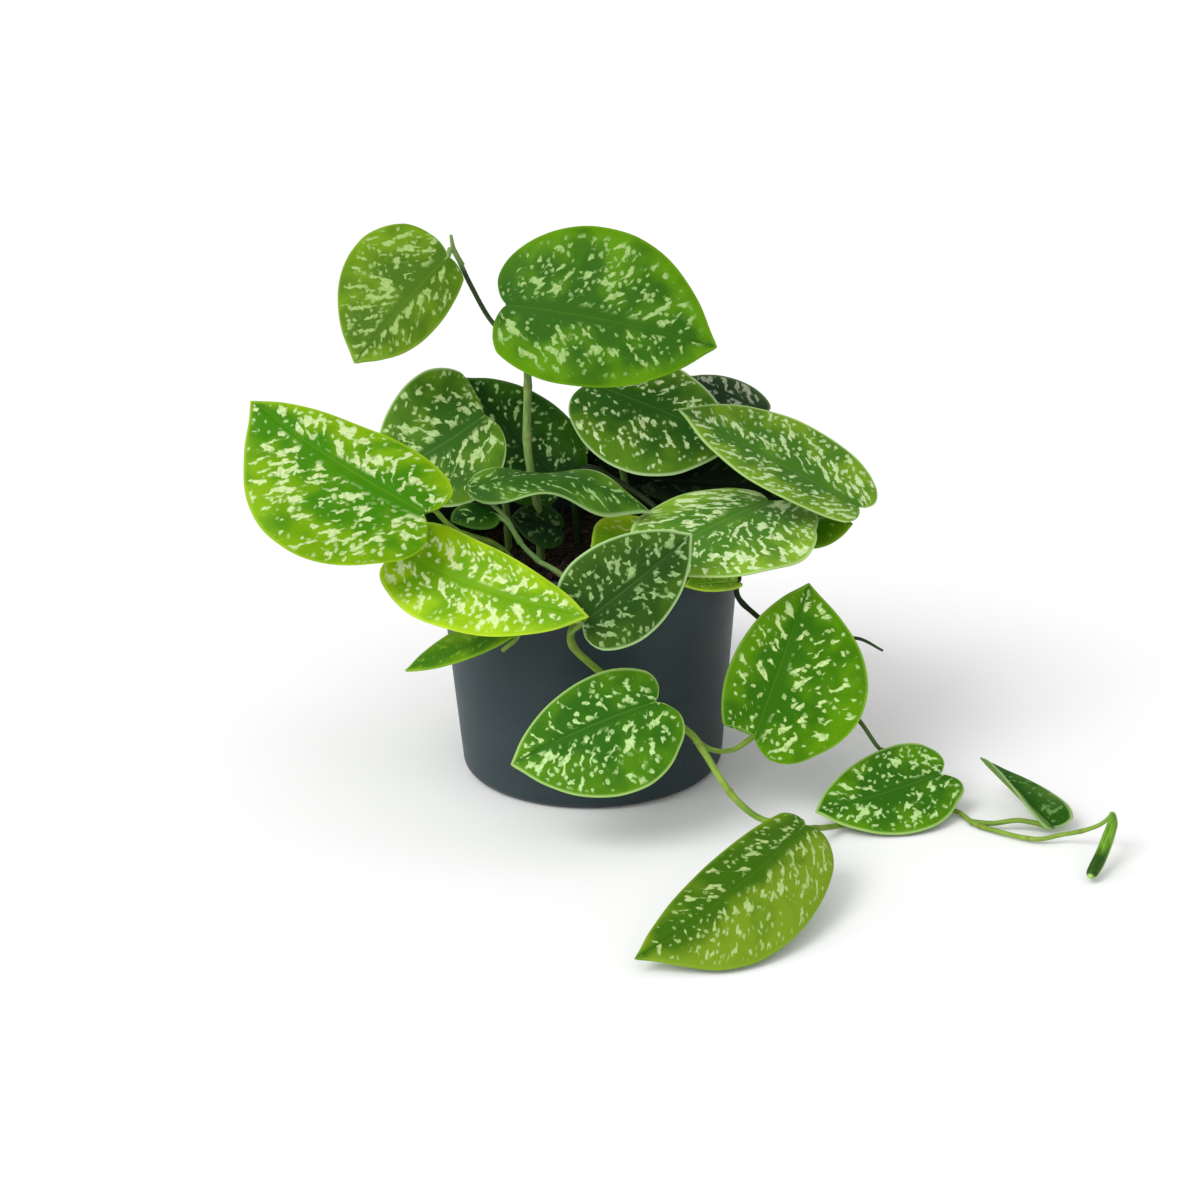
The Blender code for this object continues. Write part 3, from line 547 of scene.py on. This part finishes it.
def blade_material(name, look):
    """Greens and silver with a thin pale edge on the face, and a paler back with fine ribs."""
    m = Shades(name)
    place, vein = m.attribute("place"), m.attribute("vein")
    share, rim, top = m.split(m.attribute("zone"))[:3]
    silver = silver_marks(m, place, vein, share, rim, look)
    grain = m.noise(place, 1.3, 3.0, 0.65)
    face = m.mix(silver, blade_greens(m, place, share, grain, look), look["silver"])
    face = m.mix(m.ramp(rim, 0.3, 1.4, look["band"], 0.0), face, look["edge"])
    ribs = m.math("FRACT", m.math("DIVIDE", m.split(vein)[1], RIB_SPACING))
    ribs = m.ramp(m.math("ABSOLUTE", m.math("SUBTRACT", ribs, 0.5)), 0.0, 0.06, 1.0, 0.0)
    back = m.mix(0.4, look["bright"], srgb(112, 146, 82))
    back = m.mix(m.ramp(grain, 0.3, 0.7, 0.0, 0.3), back, srgb(86, 122, 54))
    back = m.mix(m.times(ribs, 0.35), back, look["edge"])
    m.set("Base Color", m.mix(m.ramp(top, 0.3, 0.7), back, face))
    m.set("Roughness", m.ramp(m.plus(silver, m.times(grain, 0.5)), 0.0, 1.5, 0.44, 0.58))
    pores = m.noise(place, 3.2, 2.0, 0.6)
    height = m.plus(m.times(pores, 0.35), m.times(ribs, 0.5))
    m.bump(m.plus(height, m.times(silver, 0.3)), 0.55, 0.16)
    m.set("Specular IOR Level", 0.07)
    m.set("Subsurface Weight", 0.04)
    m.set("Subsurface Radius", (0.4, 1.0, 0.1))
    m.set("Subsurface Scale", 0.001)
    return m.material


def rolled_material():
    """A young blade that is still rolled up: plain green, pale along its edges and darker at its tip."""
    m = Shades("blade_rolled")
    place = m.attribute("place")
    rim = m.split(m.attribute("zone"))[1]
    lines = m.noise(m.vector("MULTIPLY", place, (1.6, 0.12, 0.0)), 1.0, 3.0, 0.6)
    green = m.mix(m.ramp(lines, 0.3, 0.7), srgb(58, 112, 12), srgb(122, 164, 52))
    green = m.mix(m.ramp(m.split(place)[1], 19.0, 26.0, 0.0, 0.85), green, srgb(16, 58, 8))
    m.set("Base Color", m.mix(m.ramp(rim, 0.4, 1.4, 0.85, 0.0), green, srgb(168, 200, 112)))
    m.set("Roughness", m.ramp(lines, 0.2, 0.8, 0.44, 0.58))
    m.bump(lines, 0.5, 0.15)
    m.set("Specular IOR Level", 0.12)
    return m.material


def stem_material(name, pale, dark, painted_shade_heights):
    """Green stems with fine lines, ringed at the nodes, and nearly black with painted shade over some
    heights.
    """
    m = Shades(name)
    marks = m.attribute("stem")
    ring = m.split(marks)[2]
    lines = m.noise(m.vector("MULTIPLY", marks, (2.2, 0.16, 0.0)), 1.0, 3.0, 0.6)
    patches = m.noise(m.vector("MULTIPLY", marks, (0.12, 0.05, 0.0)), 1.0, 2.0)
    green = m.mix(m.ramp(m.plus(lines, patches), 0.7, 1.3), srgb(*dark), srgb(*pale))
    green = m.mix(m.times(ring, 0.55), green, srgb(104, 96, 46))
    height = m.split(m.place())[2]
    low, high = painted_shade_heights
    # Painted shade: the stem turns nearly black between these heights, where it lies in shade.
    starts = m.ramp(height, (low - 8) * MM, (low + 8) * MM, 0.0, 0.85)
    ends = m.ramp(height, (high - 3) * MM, (high + 3) * MM, 1.0, 0.0)
    m.set("Base Color", m.mix(m.times(starts, ends), green, srgb(14, 30, 12)))
    m.set("Roughness", m.ramp(lines, 0.2, 0.8, 0.42, 0.58))
    m.bump(m.math("SUBTRACT", lines, m.times(ring, 0.5)), 0.5, 0.18)
    m.set("Specular IOR Level", 0.18)
    return m.material


def pot_material():
    """Anthracite moulded plastic: a fine eggshell surface, faint flow marks and some dust low down."""
    m = Shades("pot_plastic_moulded")
    place = m.place()
    height = m.split(place)[2]
    flow = m.noise(m.vector("MULTIPLY", place, (18.0, 18.0, 70.0)), 1.0, 4.0, 0.55)
    eggshell = m.noise(place, 1500.0, 2.0, 0.6)
    base = m.mix(m.ramp(flow, 0.3, 0.7), srgb(41, 53, 56), srgb(46, 59, 62))
    specks = m.ramp(m.noise(place, 620.0, 3.0, 0.7), 0.66, 0.76)
    low = m.ramp(height, 0.0, 0.035, 0.45, 0.08)
    m.set("Base Color", m.mix(m.times(specks, low), base, srgb(112, 112, 104)))
    m.set("Roughness", m.ramp(m.plus(flow, m.times(eggshell, 0.4)), 0.4, 1.0, 0.40, 0.52))
    m.bump(m.plus(m.times(eggshell, 0.5), flow), 0.35, 0.08)
    m.set("Specular IOR Level", 0.17)
    return m.material


def soil_material(name, dark, brown, grain):
    """Dull crumbly brown, in clumps and in grains."""
    m = Shades(name)
    place = m.place()
    clumps = m.noise(place, 120.0, 4.0, 0.65)
    fine = m.noise(place, grain, 4.0, 0.7)
    m.set("Base Color", m.mix(m.ramp(m.plus(clumps, fine), 0.75, 1.35), dark, brown))
    m.set("Roughness", m.ramp(fine, 0.3, 0.7, 0.82, 0.98))
    m.bump(m.plus(fine, clumps), 0.9, 0.6)
    m.set("Specular IOR Level", 0.2)
    return m.material


def new_object(name, data):
    made = bpy.data.objects.new(name, data)
    bpy.context.scene.collection.objects.link(made)
    return made


def new_piece(name, vertices, faces, material, replaced):
    """One mesh piece of the object, riding on its body and standing for one node."""
    mesh = bpy.data.meshes.new(name)
    mesh.from_pydata((np.asarray(vertices) * MM).tolist(), [], [[int(k) for k in face] for face in faces])
    made = new_object(name, mesh)
    mesh.materials.append(material)
    mesh.shade_smooth()
    mesh.set_sharp_from_angle(angle=SHARP_ANGLE)
    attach(made, "root")
    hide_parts(replaced)
    return made


def mark(piece, name, values):
    """A vector for each vertex, which the piece's material reads."""
    attribute = piece.data.attributes.new(name, "FLOAT_VECTOR", "POINT")
    attribute.data.foreach_set("vector", np.asarray(values, np.float32).ravel())


def blade_piece(name, sheet, material, replaced):
    """A piece made from a sheet's vertices, faces and three marks."""
    vertices, faces, marks = sheet
    piece = new_piece(name, vertices, faces, material, replaced)
    for k, label in enumerate(("place", "vein", "zone")):
        mark(piece, label, marks[:, k])


def normals_of(grid):
    down, right = np.gradient(grid, axis=0), np.gradient(grid, axis=1)
    normal = np.cross(right, down)
    return normal / np.maximum(np.linalg.norm(normal, axis=-1, keepdims=True), 1e-9)


def blade_relief(share, row, x, y, seed):
    """How far the blade's middle surface stands off its smooth form: a sunk midrib, low swellings between
    the side veins, slow waves and a margin that droops a little."""
    groove = -0.3 * np.exp(-(share / 0.07) ** 2)
    quilt = 0.11 * np.cos(2 * pi * row / RIB_SPACING) * np.sin(pi * np.clip(share, 0, 1))
    slow = 0.28 * np.sin(0.23 * x + 1.7 * seed) * np.sin(0.19 * y + 2.3 * seed) * share
    droop = -0.5 * np.clip((share - 0.86) / 0.14, 0, 1) ** 2
    return groove + quilt + slow + droop


def half_sheet(surface, side, margin, starts, seed):
    """The points of one half of a blade, row by row from the midrib to the margin, and their marks."""
    half = surface.facts["half"][0 if side < 0 else 1]
    spans = np.arange(BLADE_SPANS + 1) / BLADE_SPANS
    across = margin[:, :1] * spans
    along = starts[:, None] + (margin[:, 1:] - starts[:, None]) * spans
    grid = surface.point(side, across, along)
    x = side * across * half
    y = along * surface.chord
    reach = np.hypot(margin[:, :1] * half, (margin[:, 1:] - starts[:, None]) * surface.chord)
    run = np.abs(x) * sin(VEIN_ANGLE) + y * cos(VEIN_ANGLE)
    row = y * sin(VEIN_ANGLE) - np.abs(x) * cos(VEIN_ANGLE) + VEIN_BEND * x**2
    share = np.broadcast_to(spans, x.shape)
    facing = normals_of(grid) * side
    grid = grid + facing * blade_relief(share, row, x, y, seed)[..., None]
    shift = np.full(x.shape, SEED_SHIFT * seed)
    marks = [x, y, shift, side * run, row, shift, share, reach * (1 - spans), np.ones(x.shape)]
    return grid.reshape(-1, 3), np.stack(marks, -1).reshape(-1, 3, 3)


def half_faces(rows, tip, side):
    """The faces of one half of a blade, turned so that both halves face the same way."""
    faces = []
    for low, high in zip(rows, rows[1:]):
        for a, b, c, d in zip(low, low[1:], high[1:], high):
            faces.append((a, b, c) if a == d else (a, b, c, d))
    faces += [(a, b, tip) for a, b in zip(rows[-1], rows[-1][1:])]
    return faces if side > 0 else [face[::-1] for face in faces]


def fine_blade(facts, seed):
    """Both faces of a blade with its rim. Each vertex has three marks: its place on the blade (mm), its
    place along the side veins (mm) and its zone (share of the way to the margin, distance to it, face).
    """
    surface = BladeSurface(facts)
    margin = spline(OUTLINE, BLADE_ROWS + 1)[1:-1]
    starts = np.clip((np.arange(BLADE_ROWS) / BLADE_ROWS - FAN_SHARE) / (1 - FAN_SHARE), 0, None)
    right, right_marks = half_sheet(surface, 1, margin, starts, seed)
    left, left_marks = half_sheet(surface, -1, margin, starts, seed)
    tip = len(right) + len(left)
    shift = SEED_SHIFT * seed
    tip_marks = [[0, surface.chord, shift],
                 [surface.chord * cos(VEIN_ANGLE), surface.chord * sin(VEIN_ANGLE), shift],
                 [1, 0, 1]]
    points = np.vstack([right, left, surface.point(1, 0.0, 1.0)])
    marks = np.concatenate([right_marks, left_marks, [tip_marks]])
    grids = dict(zip((1, -1), np.arange(tip).reshape(2, BLADE_ROWS, BLADE_SPANS + 1)))
    grids[-1][:, 0] = grids[1][:, 0]
    for side in (1, -1):
        grids[side][starts <= 0, 0] = grids[1][0, 0]
    faces = half_faces(grids[1], tip, 1) + half_faces(grids[-1], tip, -1)
    edge = {side: list(grids[side][0]) + list(grids[side][1:, -1]) for side in (1, -1)}
    loop = edge[1] + [tip] + edge[-1][:0:-1]
    return both_faces(points, faces, loop, marks)


def both_faces(points, faces, loop, marks):
    """Turn a sheet into a thin solid that thins to its margin, and drop the points it doesn't use."""
    areas = np.zeros_like(points)
    for face in faces:
        corners = points[list(face)]
        area = np.cross(corners[1] - corners[0], corners[2] - corners[0])
        if len(face) == 4:
            area = area + np.cross(corners[2] - corners[0], corners[3] - corners[0])
        areas[list(face)] += area
    length = np.linalg.norm(areas, axis=1)
    used = np.flatnonzero(length > 0)
    fresh = np.full(len(points), -1)
    fresh[used] = np.arange(len(used))
    normals = areas[used] / length[used, None]
    near = np.clip(marks[used, 2, 1] / MARGIN_WIDTH, 0, 1)[:, None]
    half = (MARGIN_THICKNESS + (BLADE_THICKNESS - MARGIN_THICKNESS) * near) / 2
    count = len(used)
    solid = np.vstack([points[used] + normals * half, points[used] - normals * half])
    shell = [tuple(fresh[list(face)]) for face in faces]
    shell += [tuple(int(k) + count for k in face[::-1]) for face in shell]
    loop = [fresh[k] for k in loop]
    for a, b in zip(loop, loop[1:] + loop[:1]):
        shell.append((b, a, a + count, b + count))
    under = marks[used]
    under[:, 2, 2] = 0
    return solid, shell, np.concatenate([marks[used], under])


def rolled_sheet(points, radii):
    """The middle surface of a rolled-up blade: a spiral along its axis, wide in its middle."""
    axis = spline(points, ROLL_STEPS)
    share = np.linspace(0, 1, ROLL_STEPS + 1)
    closing = np.sqrt(np.clip((1 - share) / ROLL_TIP_SHARE, 0.02, 1))
    widths = np.interp(share, np.linspace(0, 1, len(radii)), radii) * closing
    turns = np.linspace(0, 1, ROLL_SPANS)
    angle = turns * 2 * pi * ROLL_TURNS
    scale = ROLL_CORE + ROLL_GROWTH * turns
    direction = unit(axis[-1] - axis[0])
    side = unit(np.cross(direction, (0.0, 0.0, 1.0)))
    other = np.cross(direction, side)
    return np.stack([place + width * (np.outer(scale * np.cos(angle), side)
                                      + np.outer(scale * np.sin(angle), other))
                     for place, width in zip(axis, widths)])


def rolled_blade(points, radii, seed):
    """Both faces of a rolled-up blade with its rim, and the marks that an open blade has."""
    sheet = rolled_sheet(points, radii)
    rows, columns = sheet.shape[:2]
    index = np.arange(rows * columns).reshape(rows, columns)
    faces = [(low[k], low[k + 1], high[k + 1], high[k])
             for low, high in zip(index, index[1:]) for k in range(columns - 1)]
    loop = list(index[0]) + list(index[1:, -1]) + list(index[-1, -2::-1]) + list(index[-2:0:-1, 0])
    run = np.linspace(0, length_of(points), rows)[:, None] + np.zeros(columns)
    wide = np.linspace(0, ROLL_WIDTH, columns) + np.zeros((rows, 1))
    rim = np.minimum(np.minimum(wide, ROLL_WIDTH - wide), np.minimum(run, run[-1, 0] - run))
    place = [wide, run, np.full(run.shape, SEED_SHIFT * seed)]
    zone = [np.full(run.shape, 0.5), rim, np.ones(run.shape)]
    marks = np.stack(place + place + zone, -1).reshape(-1, 3, 3)
    return both_faces(sheet.reshape(-1, 3), faces, loop, marks)


def rod(points, radii, sides=STEM_SIDES, rings=None):
    """A round rod closed at both ends. Its marks are the way around, the run (mm) and the node ring."""
    points = np.asarray(points, float)
    radii = np.asarray(radii, float)
    directions = np.gradient(points, axis=0)
    directions /= np.linalg.norm(directions, axis=1)[:, None]
    start = np.eye(3)[0 if abs(directions[0, 0]) < 0.8 else 1]
    side = unit(start - start @ directions[0] * directions[0])
    angles = np.arange(sides) * 2 * pi / sides
    circles = []
    for place, direction, radius in zip(points, directions, radii):
        side = unit(side - side @ direction * direction)
        circle = np.outer(np.cos(angles), side) + np.outer(np.sin(angles), np.cross(direction, side))
        circles.append(place + radius * circle)
    vertices = np.vstack(circles)
    faces = [tuple(range(sides))[::-1], tuple(range(len(vertices) - sides, len(vertices)))]
    for ring in range(len(points) - 1):
        for k in range(sides):
            a, b = ring * sides + k, ring * sides + (k + 1) % sides
            faces.append((a, b, b + sides, a + sides))
    run = np.concatenate([[0], np.cumsum(np.linalg.norm(np.diff(points, axis=0), axis=1))])
    around = np.abs(angles - pi) * STEM_RADIUS
    rings = np.zeros(len(points)) if rings is None else rings
    marks = np.stack([np.tile(around, len(points)), np.repeat(run, sides), np.repeat(rings, sides)], 1)
    return vertices, faces, marks


def join(parts):
    """Several (vertices, faces, marks) as one."""
    vertices, faces, marks, count = [], [], [], 0
    for part_vertices, part_faces, part_marks in parts:
        vertices.append(part_vertices)
        faces += [tuple(k + count for k in face) for face in part_faces]
        marks.append(part_marks)
        count += len(part_vertices)
    return np.vstack(vertices), faces, np.vstack(marks)


def stem_rod(points, radius):
    """A main stem with a slight swelling and a ring at each node."""
    length = length_of(points)
    steps = max(6, round(length / STEM_STEP))
    run = np.linspace(0, length, steps + 1)
    nodes = np.arange(NODE_SPACING * 0.8, length, NODE_SPACING)
    rings = np.exp(-((run[:, None] - nodes) / 0.9) ** 2).sum(1)
    swell = 1 + NODE_SWELL * np.exp(-((run[:, None] - nodes) / 1.8) ** 2).sum(1)
    return rod(spline(points, steps), np.linspace(*radius, steps + 1) * swell, rings=rings)


def petiole_rod(facts):
    """From a sheathing foot on the stem to the knee under the blade, then on as its tapering midrib."""
    surface = BladeSurface(facts)
    free = facts["petiole"] + [tuple(surface.base - KNEE_DEPTH * surface.up)]
    length = length_of(free)
    steps = max(5, round(length / STEM_STEP))
    run = np.linspace(0, length, steps + 1)
    radii = np.linspace(*PETIOLE_RADII, steps + 1) + FOOT_SWELL * np.exp(-run / FOOT_LENGTH)
    radii += KNEE_SWELL * np.exp(-((run - length + 3.0) / 2.2) ** 2)
    shares = np.linspace(MIDRIB_START, MIDRIB_REACH, MIDRIB_STEPS)
    under = np.interp(shares, (MIDRIB_START, 0.3, MIDRIB_REACH), (1.0, 0.75, 0.22))
    rib = [surface.point(1, 0.0, share) - (0.45 + 0.55 * radius) * surface.up
           for share, radius in zip(shares, under)]
    return rod(np.vstack([spline(free, steps), rib]), np.concatenate([radii, under]), PETIOLE_SIDES)


def tip_rod(points, radii):
    """A bare tip or side shoot, whose radii are spread evenly along it."""
    steps = max(8, round(length_of(points) / 1.2))
    widths = np.interp(np.linspace(0, 1, steps + 1), np.linspace(0, 1, len(radii)), radii)
    return rod(spline(points, steps), widths, 12)


def make_shoot(name, shoot, looks, seed):
    """A piece for each blade of a shoot and one for its stems. It returns the last blade's seed."""
    parts = [stem_rod(shoot["stem"], shoot["radius"])]
    for facts in shoot["leaves"]:
        seed += 1
        parts.append(petiole_rod(facts))
        sheet = fine_blade(facts, seed)
        blade_piece(name + "_blade_" + facts["name"], sheet, looks[facts["kind"]], name)
    if "rolled" in shoot:
        rolled = rolled_blade(*shoot["rolled"], seed + 0.5)
        blade_piece(name + "_rolled_blade", rolled, rolled_material(), name)
    parts += [tip_rod(points, radii) for points, radii in shoot.get("tips", ())]
    vertices, faces, marks = join(parts)
    material = stem_material(name + "_stem", shoot["pale"], shoot["dark"], shoot.get("painted_shade_span", NOWHERE))
    stems = new_piece(name + "_stems", vertices, faces, material, name)
    mark(stems, "stem", marks)
    return seed


def revolve(profile, segments):
    """Turn a profile of (radius, height) pairs; a radius of zero is one point on the axis."""
    vertices, rings = [], []
    for radius, height in profile:
        if radius == 0:
            rings.append([len(vertices)] * segments)
            vertices.append((0, 0, height))
        else:
            rings.append(list(range(len(vertices), len(vertices) + segments)))
            for k in range(segments):
                turn = 2 * pi * k / segments
                vertices.append((radius * cos(turn), radius * sin(turn), height))
    faces = []
    for low, high in zip(rings, rings[1:]):
        for k in range(segments):
            a, b, c, d = low[k], low[(k + 1) % segments], high[(k + 1) % segments], high[k]
            faces.append(tuple(dict.fromkeys((a, b, c, d))))
    return np.array(vertices, float), faces


def arc(centre, radius, start, end, count):
    """Points of a profile on an arc from one angle to another (degrees)."""
    x, y = centre
    return [(x + radius * cos(radians(a)), y + radius * sin(radians(a)))
            for a in np.linspace(start, end, count)]


def wall_radius(height):
    """The radius of the pot's tapered wall, outside."""
    share = (height - FOOT_ROUND) / (POT_HEIGHT - FOOT_ROUND)
    return WALL_FOOT_RADIUS + (WALL_TOP_RADIUS - WALL_FOOT_RADIUS) * share


def pot_profile():
    """From the middle of the underside out over the recess, up the wall, over the rim and in."""
    lip = POT_HEIGHT - RIM_DEPTH
    outer, inner = RIM_ROUNDS
    inner_round = FOOT_ROUND - WALL
    floor_top = RECESS_DEPTH + POT_FLOOR
    profile = [(0, 0)] + arc((RECESS_INNER - EDGE_ROUND, EDGE_ROUND), EDGE_ROUND, -90, 0, 4)
    profile += [(RECESS_INNER + RECESS_SLOPE, RECESS_DEPTH), (RECESS_OUTER - RECESS_SLOPE, RECESS_DEPTH)]
    profile += arc((RECESS_OUTER + EDGE_ROUND, EDGE_ROUND), EDGE_ROUND, 180, 270, 4)
    profile += arc((WALL_FOOT_RADIUS - FOOT_ROUND, FOOT_ROUND), FOOT_ROUND, -90, 0, 16)
    profile += [(wall_radius(height), height) for height in np.linspace(WALL_START, lip - RIM_BLEND, 10)]
    profile += [(RIM_RADIUS - 0.35, lip - 0.5)]
    profile += arc((RIM_RADIUS - EDGE_ROUND, lip + 0.4), EDGE_ROUND, -60, 0, 4)
    profile += arc((RIM_RADIUS - outer, POT_HEIGHT - outer), outer, 0, 90, 7)
    profile += arc((WALL_TOP_RADIUS - WALL + inner, POT_HEIGHT - inner), inner, 90, 180, 6)
    profile += arc((WALL_FOOT_RADIUS - FOOT_ROUND, floor_top + inner_round), inner_round, 0, -90, 8)
    return profile + [(0, floor_top)]


def drain_posts():
    """A round post for each drain hole, through the recess and the floor above it."""
    middle = (RECESS_INNER + RECESS_OUTER) / 2
    top = RECESS_DEPTH + POT_FLOOR + 1
    posts = []
    for k in range(DRAIN_HOLES):
        turn = 2 * pi * (k + 0.5) / DRAIN_HOLES
        x, y = middle * cos(turn), middle * sin(turn)
        posts.append(rod([(x, y, -1), (x, y, top)], (DRAIN_RADIUS, DRAIN_RADIUS), DRAIN_SIDES))
    return join(posts)


def make_pot():
    """The turned pot with its drain holes cut out."""
    vertices, faces = revolve(pot_profile(), SEGMENTS)
    pot = new_piece("nursery_pot", vertices, faces, pot_material(), "pot")
    vertices, faces, _ = drain_posts()
    mesh = bpy.data.meshes.new("drains")
    mesh.from_pydata((vertices * MM).tolist(), [], faces)
    cutter = new_object("drains", mesh)
    modifier = pot.modifiers.new("drain_holes", "BOOLEAN")
    modifier.operation = "DIFFERENCE"
    modifier.object = cutter
    with bpy.context.temp_override(object=pot, active_object=pot, selected_objects=[pot]):
        bpy.ops.object.modifier_apply(modifier=modifier.name)
    bpy.data.objects.remove(cutter)
    pot.data.set_sharp_from_angle(angle=SHARP_ANGLE)


def soil_height(x, y):
    """The lumpy top of the soil, with clods and crumbs."""
    broad = SOIL_RELIEF * (0.5 * sin(0.21 * x + 0.6) * cos(0.17 * y - 0.4)
                           + 0.3 * sin(0.47 * x - 0.31 * y)
                           + 0.2 * cos(0.39 * y + 0.52 * x + 1.1))
    clods = 1.1 * noise.noise(Vector((x, y, 3.0)) / 4.6) + 0.6 * noise.noise(Vector((x, y, 9.0)) / 1.9)
    return SOIL_TOP + broad + clods


def soil_profile(rim):
    """From the middle of the soil's underside out, up to its rim and in again over its top."""
    floor_top = RECESS_DEPTH + POT_FLOOR + SOIL_GAP
    foot = WALL_FOOT_RADIUS - (WALL + SOIL_GAP)
    corner = FOOT_ROUND - WALL
    profile = [(0, floor_top)] + arc((foot - corner, floor_top + corner), corner, -90, 0, 4)
    profile += [(rim, SOIL_TOP - 4)]
    return profile + [(rim * share, SOIL_TOP) for share in np.linspace(1, 0, SOIL_RINGS + 1)]


def random_spot(draw, reach):
    """A place on the soil, x and y, no farther out than reach."""
    turn = draw.uniform(0, 2 * pi)
    out = reach * sqrt(draw.uniform(0, 1))
    return out * cos(turn), out * sin(turn)


def crumb_lump(draw, reach):
    """One uneven grain, half sunk in the soil."""
    size = float(np.clip(draw.lognormal(-0.15, 0.5), *CRUMB_SIZES))
    x, y = random_spot(draw, reach)
    lump = ICOSAHEDRON * draw.uniform(0.65, 1.25, (12, 1)) * draw.uniform(0.6, 1.2, 3) * size
    return lump + (x, y, soil_height(x, y) + 0.25 * size), ICOSAHEDRON_FACES, np.zeros((12, 3))


def fibre_rod(draw, reach):
    """One bent fibre of bark that lies on the soil."""
    spot = np.array(random_spot(draw, reach))
    heading = draw.uniform(0, 2 * pi)
    bend = draw.uniform(-0.7, 0.7)
    length = draw.uniform(*FIBRE_LENGTHS)
    path = []
    for step in np.linspace(-0.5, 0.5, 6):
        way = heading + bend * step
        x, y = spot + length * step * np.array([cos(way), sin(way)])
        path.append((x, y, soil_height(x, y) + 0.5))
    return rod(path, np.array([0.5, 1, 1, 0.9, 0.8, 0.4]) * draw.uniform(*FIBRE_RADII), 5)


def make_soil():
    """The turned body of peat, then its crumbs and its fibres, from one seeded draw."""
    rim = wall_radius(SOIL_TOP) - (WALL + SOIL_GAP) - 0.2
    vertices, faces = revolve(soil_profile(rim), SEGMENTS)
    top = vertices[:, 2] > SOIL_TOP - 1
    vertices[top, 2] = [soil_height(x, y) for x, y in vertices[top, :2]]
    # Dark peat browns: the peat's own colour, darkened further as painted shade for the shaded inside of
    # the pot.
    peat = soil_material("peat_ground", srgb(13, 10, 7), srgb(40, 30, 20), 700.0)
    new_piece("soil_ground", vertices, faces, peat, "potting_soil")
    draw = np.random.default_rng(SOIL_SEED)
    vertices, faces, _ = join([crumb_lump(draw, rim - 1.5) for _ in range(CRUMBS)])
    crumb = soil_material("peat_crumb", srgb(20, 15, 10), srgb(58, 42, 28), 900.0)
    new_piece("soil_crumbs", vertices, faces, crumb, "potting_soil")
    vertices, faces, _ = join([fibre_rod(draw, rim - 5) for _ in range(FIBRES)])
    fibre = soil_material("bark_fibre", srgb(52, 32, 17), srgb(98, 66, 38), 500.0)
    new_piece("soil_fibres", vertices, faces, fibre, "potting_soil")


def make_floor():
    """A plain pale floor, which isn't part of the object."""
    mesh = bpy.data.meshes.new("floor")
    mesh.from_pydata(FLOOR_CORNERS, [], [(0, 1, 2, 3)])
    floor = new_object("floor", mesh)
    floor.location.z = -FLOOR_DROP
    white = Shades("floor_white")
    white.set("Base Color", (0.9, 0.9, 0.9, 1))
    white.set("Roughness", 0.85)
    white.set("Specular IOR Level", 0.1)
    mesh.materials.append(white.material)


def make_sun(name, place, power, spread):
    """A broad soft light from far away, which is even over the floor."""
    data = bpy.data.lights.new(name, "SUN")
    data.energy = power
    data.angle = radians(spread)
    lamp = new_object(name, data)
    lamp.location = place
    lamp.rotation_euler = (-Vector(place)).to_track_quat("-Z", "Y").to_euler()


def light_scene():
    """An even white studio all round, and its lamps."""
    scene = bpy.context.scene
    scene.view_settings.view_transform = "Standard"
    world = bpy.data.worlds.new("studio")
    world.use_nodes = True
    background = world.node_tree.nodes["Background"]
    background.inputs["Color"].default_value = (1, 1, 1, 1)
    background.inputs["Strength"].default_value = WORLD_STRENGTH
    scene.world = world
    for name, facts in LAMPS.items():
        make_sun(name, *facts)


def make_camera():
    """The camera at the photograph's angle, rolled a little about its line of sight."""
    elevation, roll = radians(CAMERA_ELEVATION), radians(CAMERA_ROLL)
    view = Vector((0, cos(elevation), -sin(elevation)))
    level = Vector((1, 0, 0))
    upright = level.cross(view)
    right = level * cos(roll) - upright * sin(roll)
    up = upright * cos(roll) + level * sin(roll)
    data = bpy.data.cameras.new("camera")
    data.lens = CAMERA_LENS
    data.sensor_width = CAMERA_SENSOR
    data.clip_start = 0.05
    camera = new_object("camera", data)
    place = (Vector(CAMERA_TARGET) - view * CAMERA_DISTANCE) * MM
    camera.matrix_world = Matrix((
        (right.x, up.x, -view.x, place.x), (right.y, up.y, -view.y, place.y),
        (right.z, up.z, -view.z, place.z), (0, 0, 0, 1)))
    bpy.context.scene.camera = camera


make_camera()
make_pot()
make_soil()
blade_looks = {kind: blade_material("blade_" + kind, blade_look(*row)) for kind, row in LOOKS.items()}
last_seed = 0
for shoot_name, shoot_facts in SHOOTS.items():
    last_seed = make_shoot(shoot_name, shoot_facts, blade_looks, last_seed)
make_floor()
light_scene()
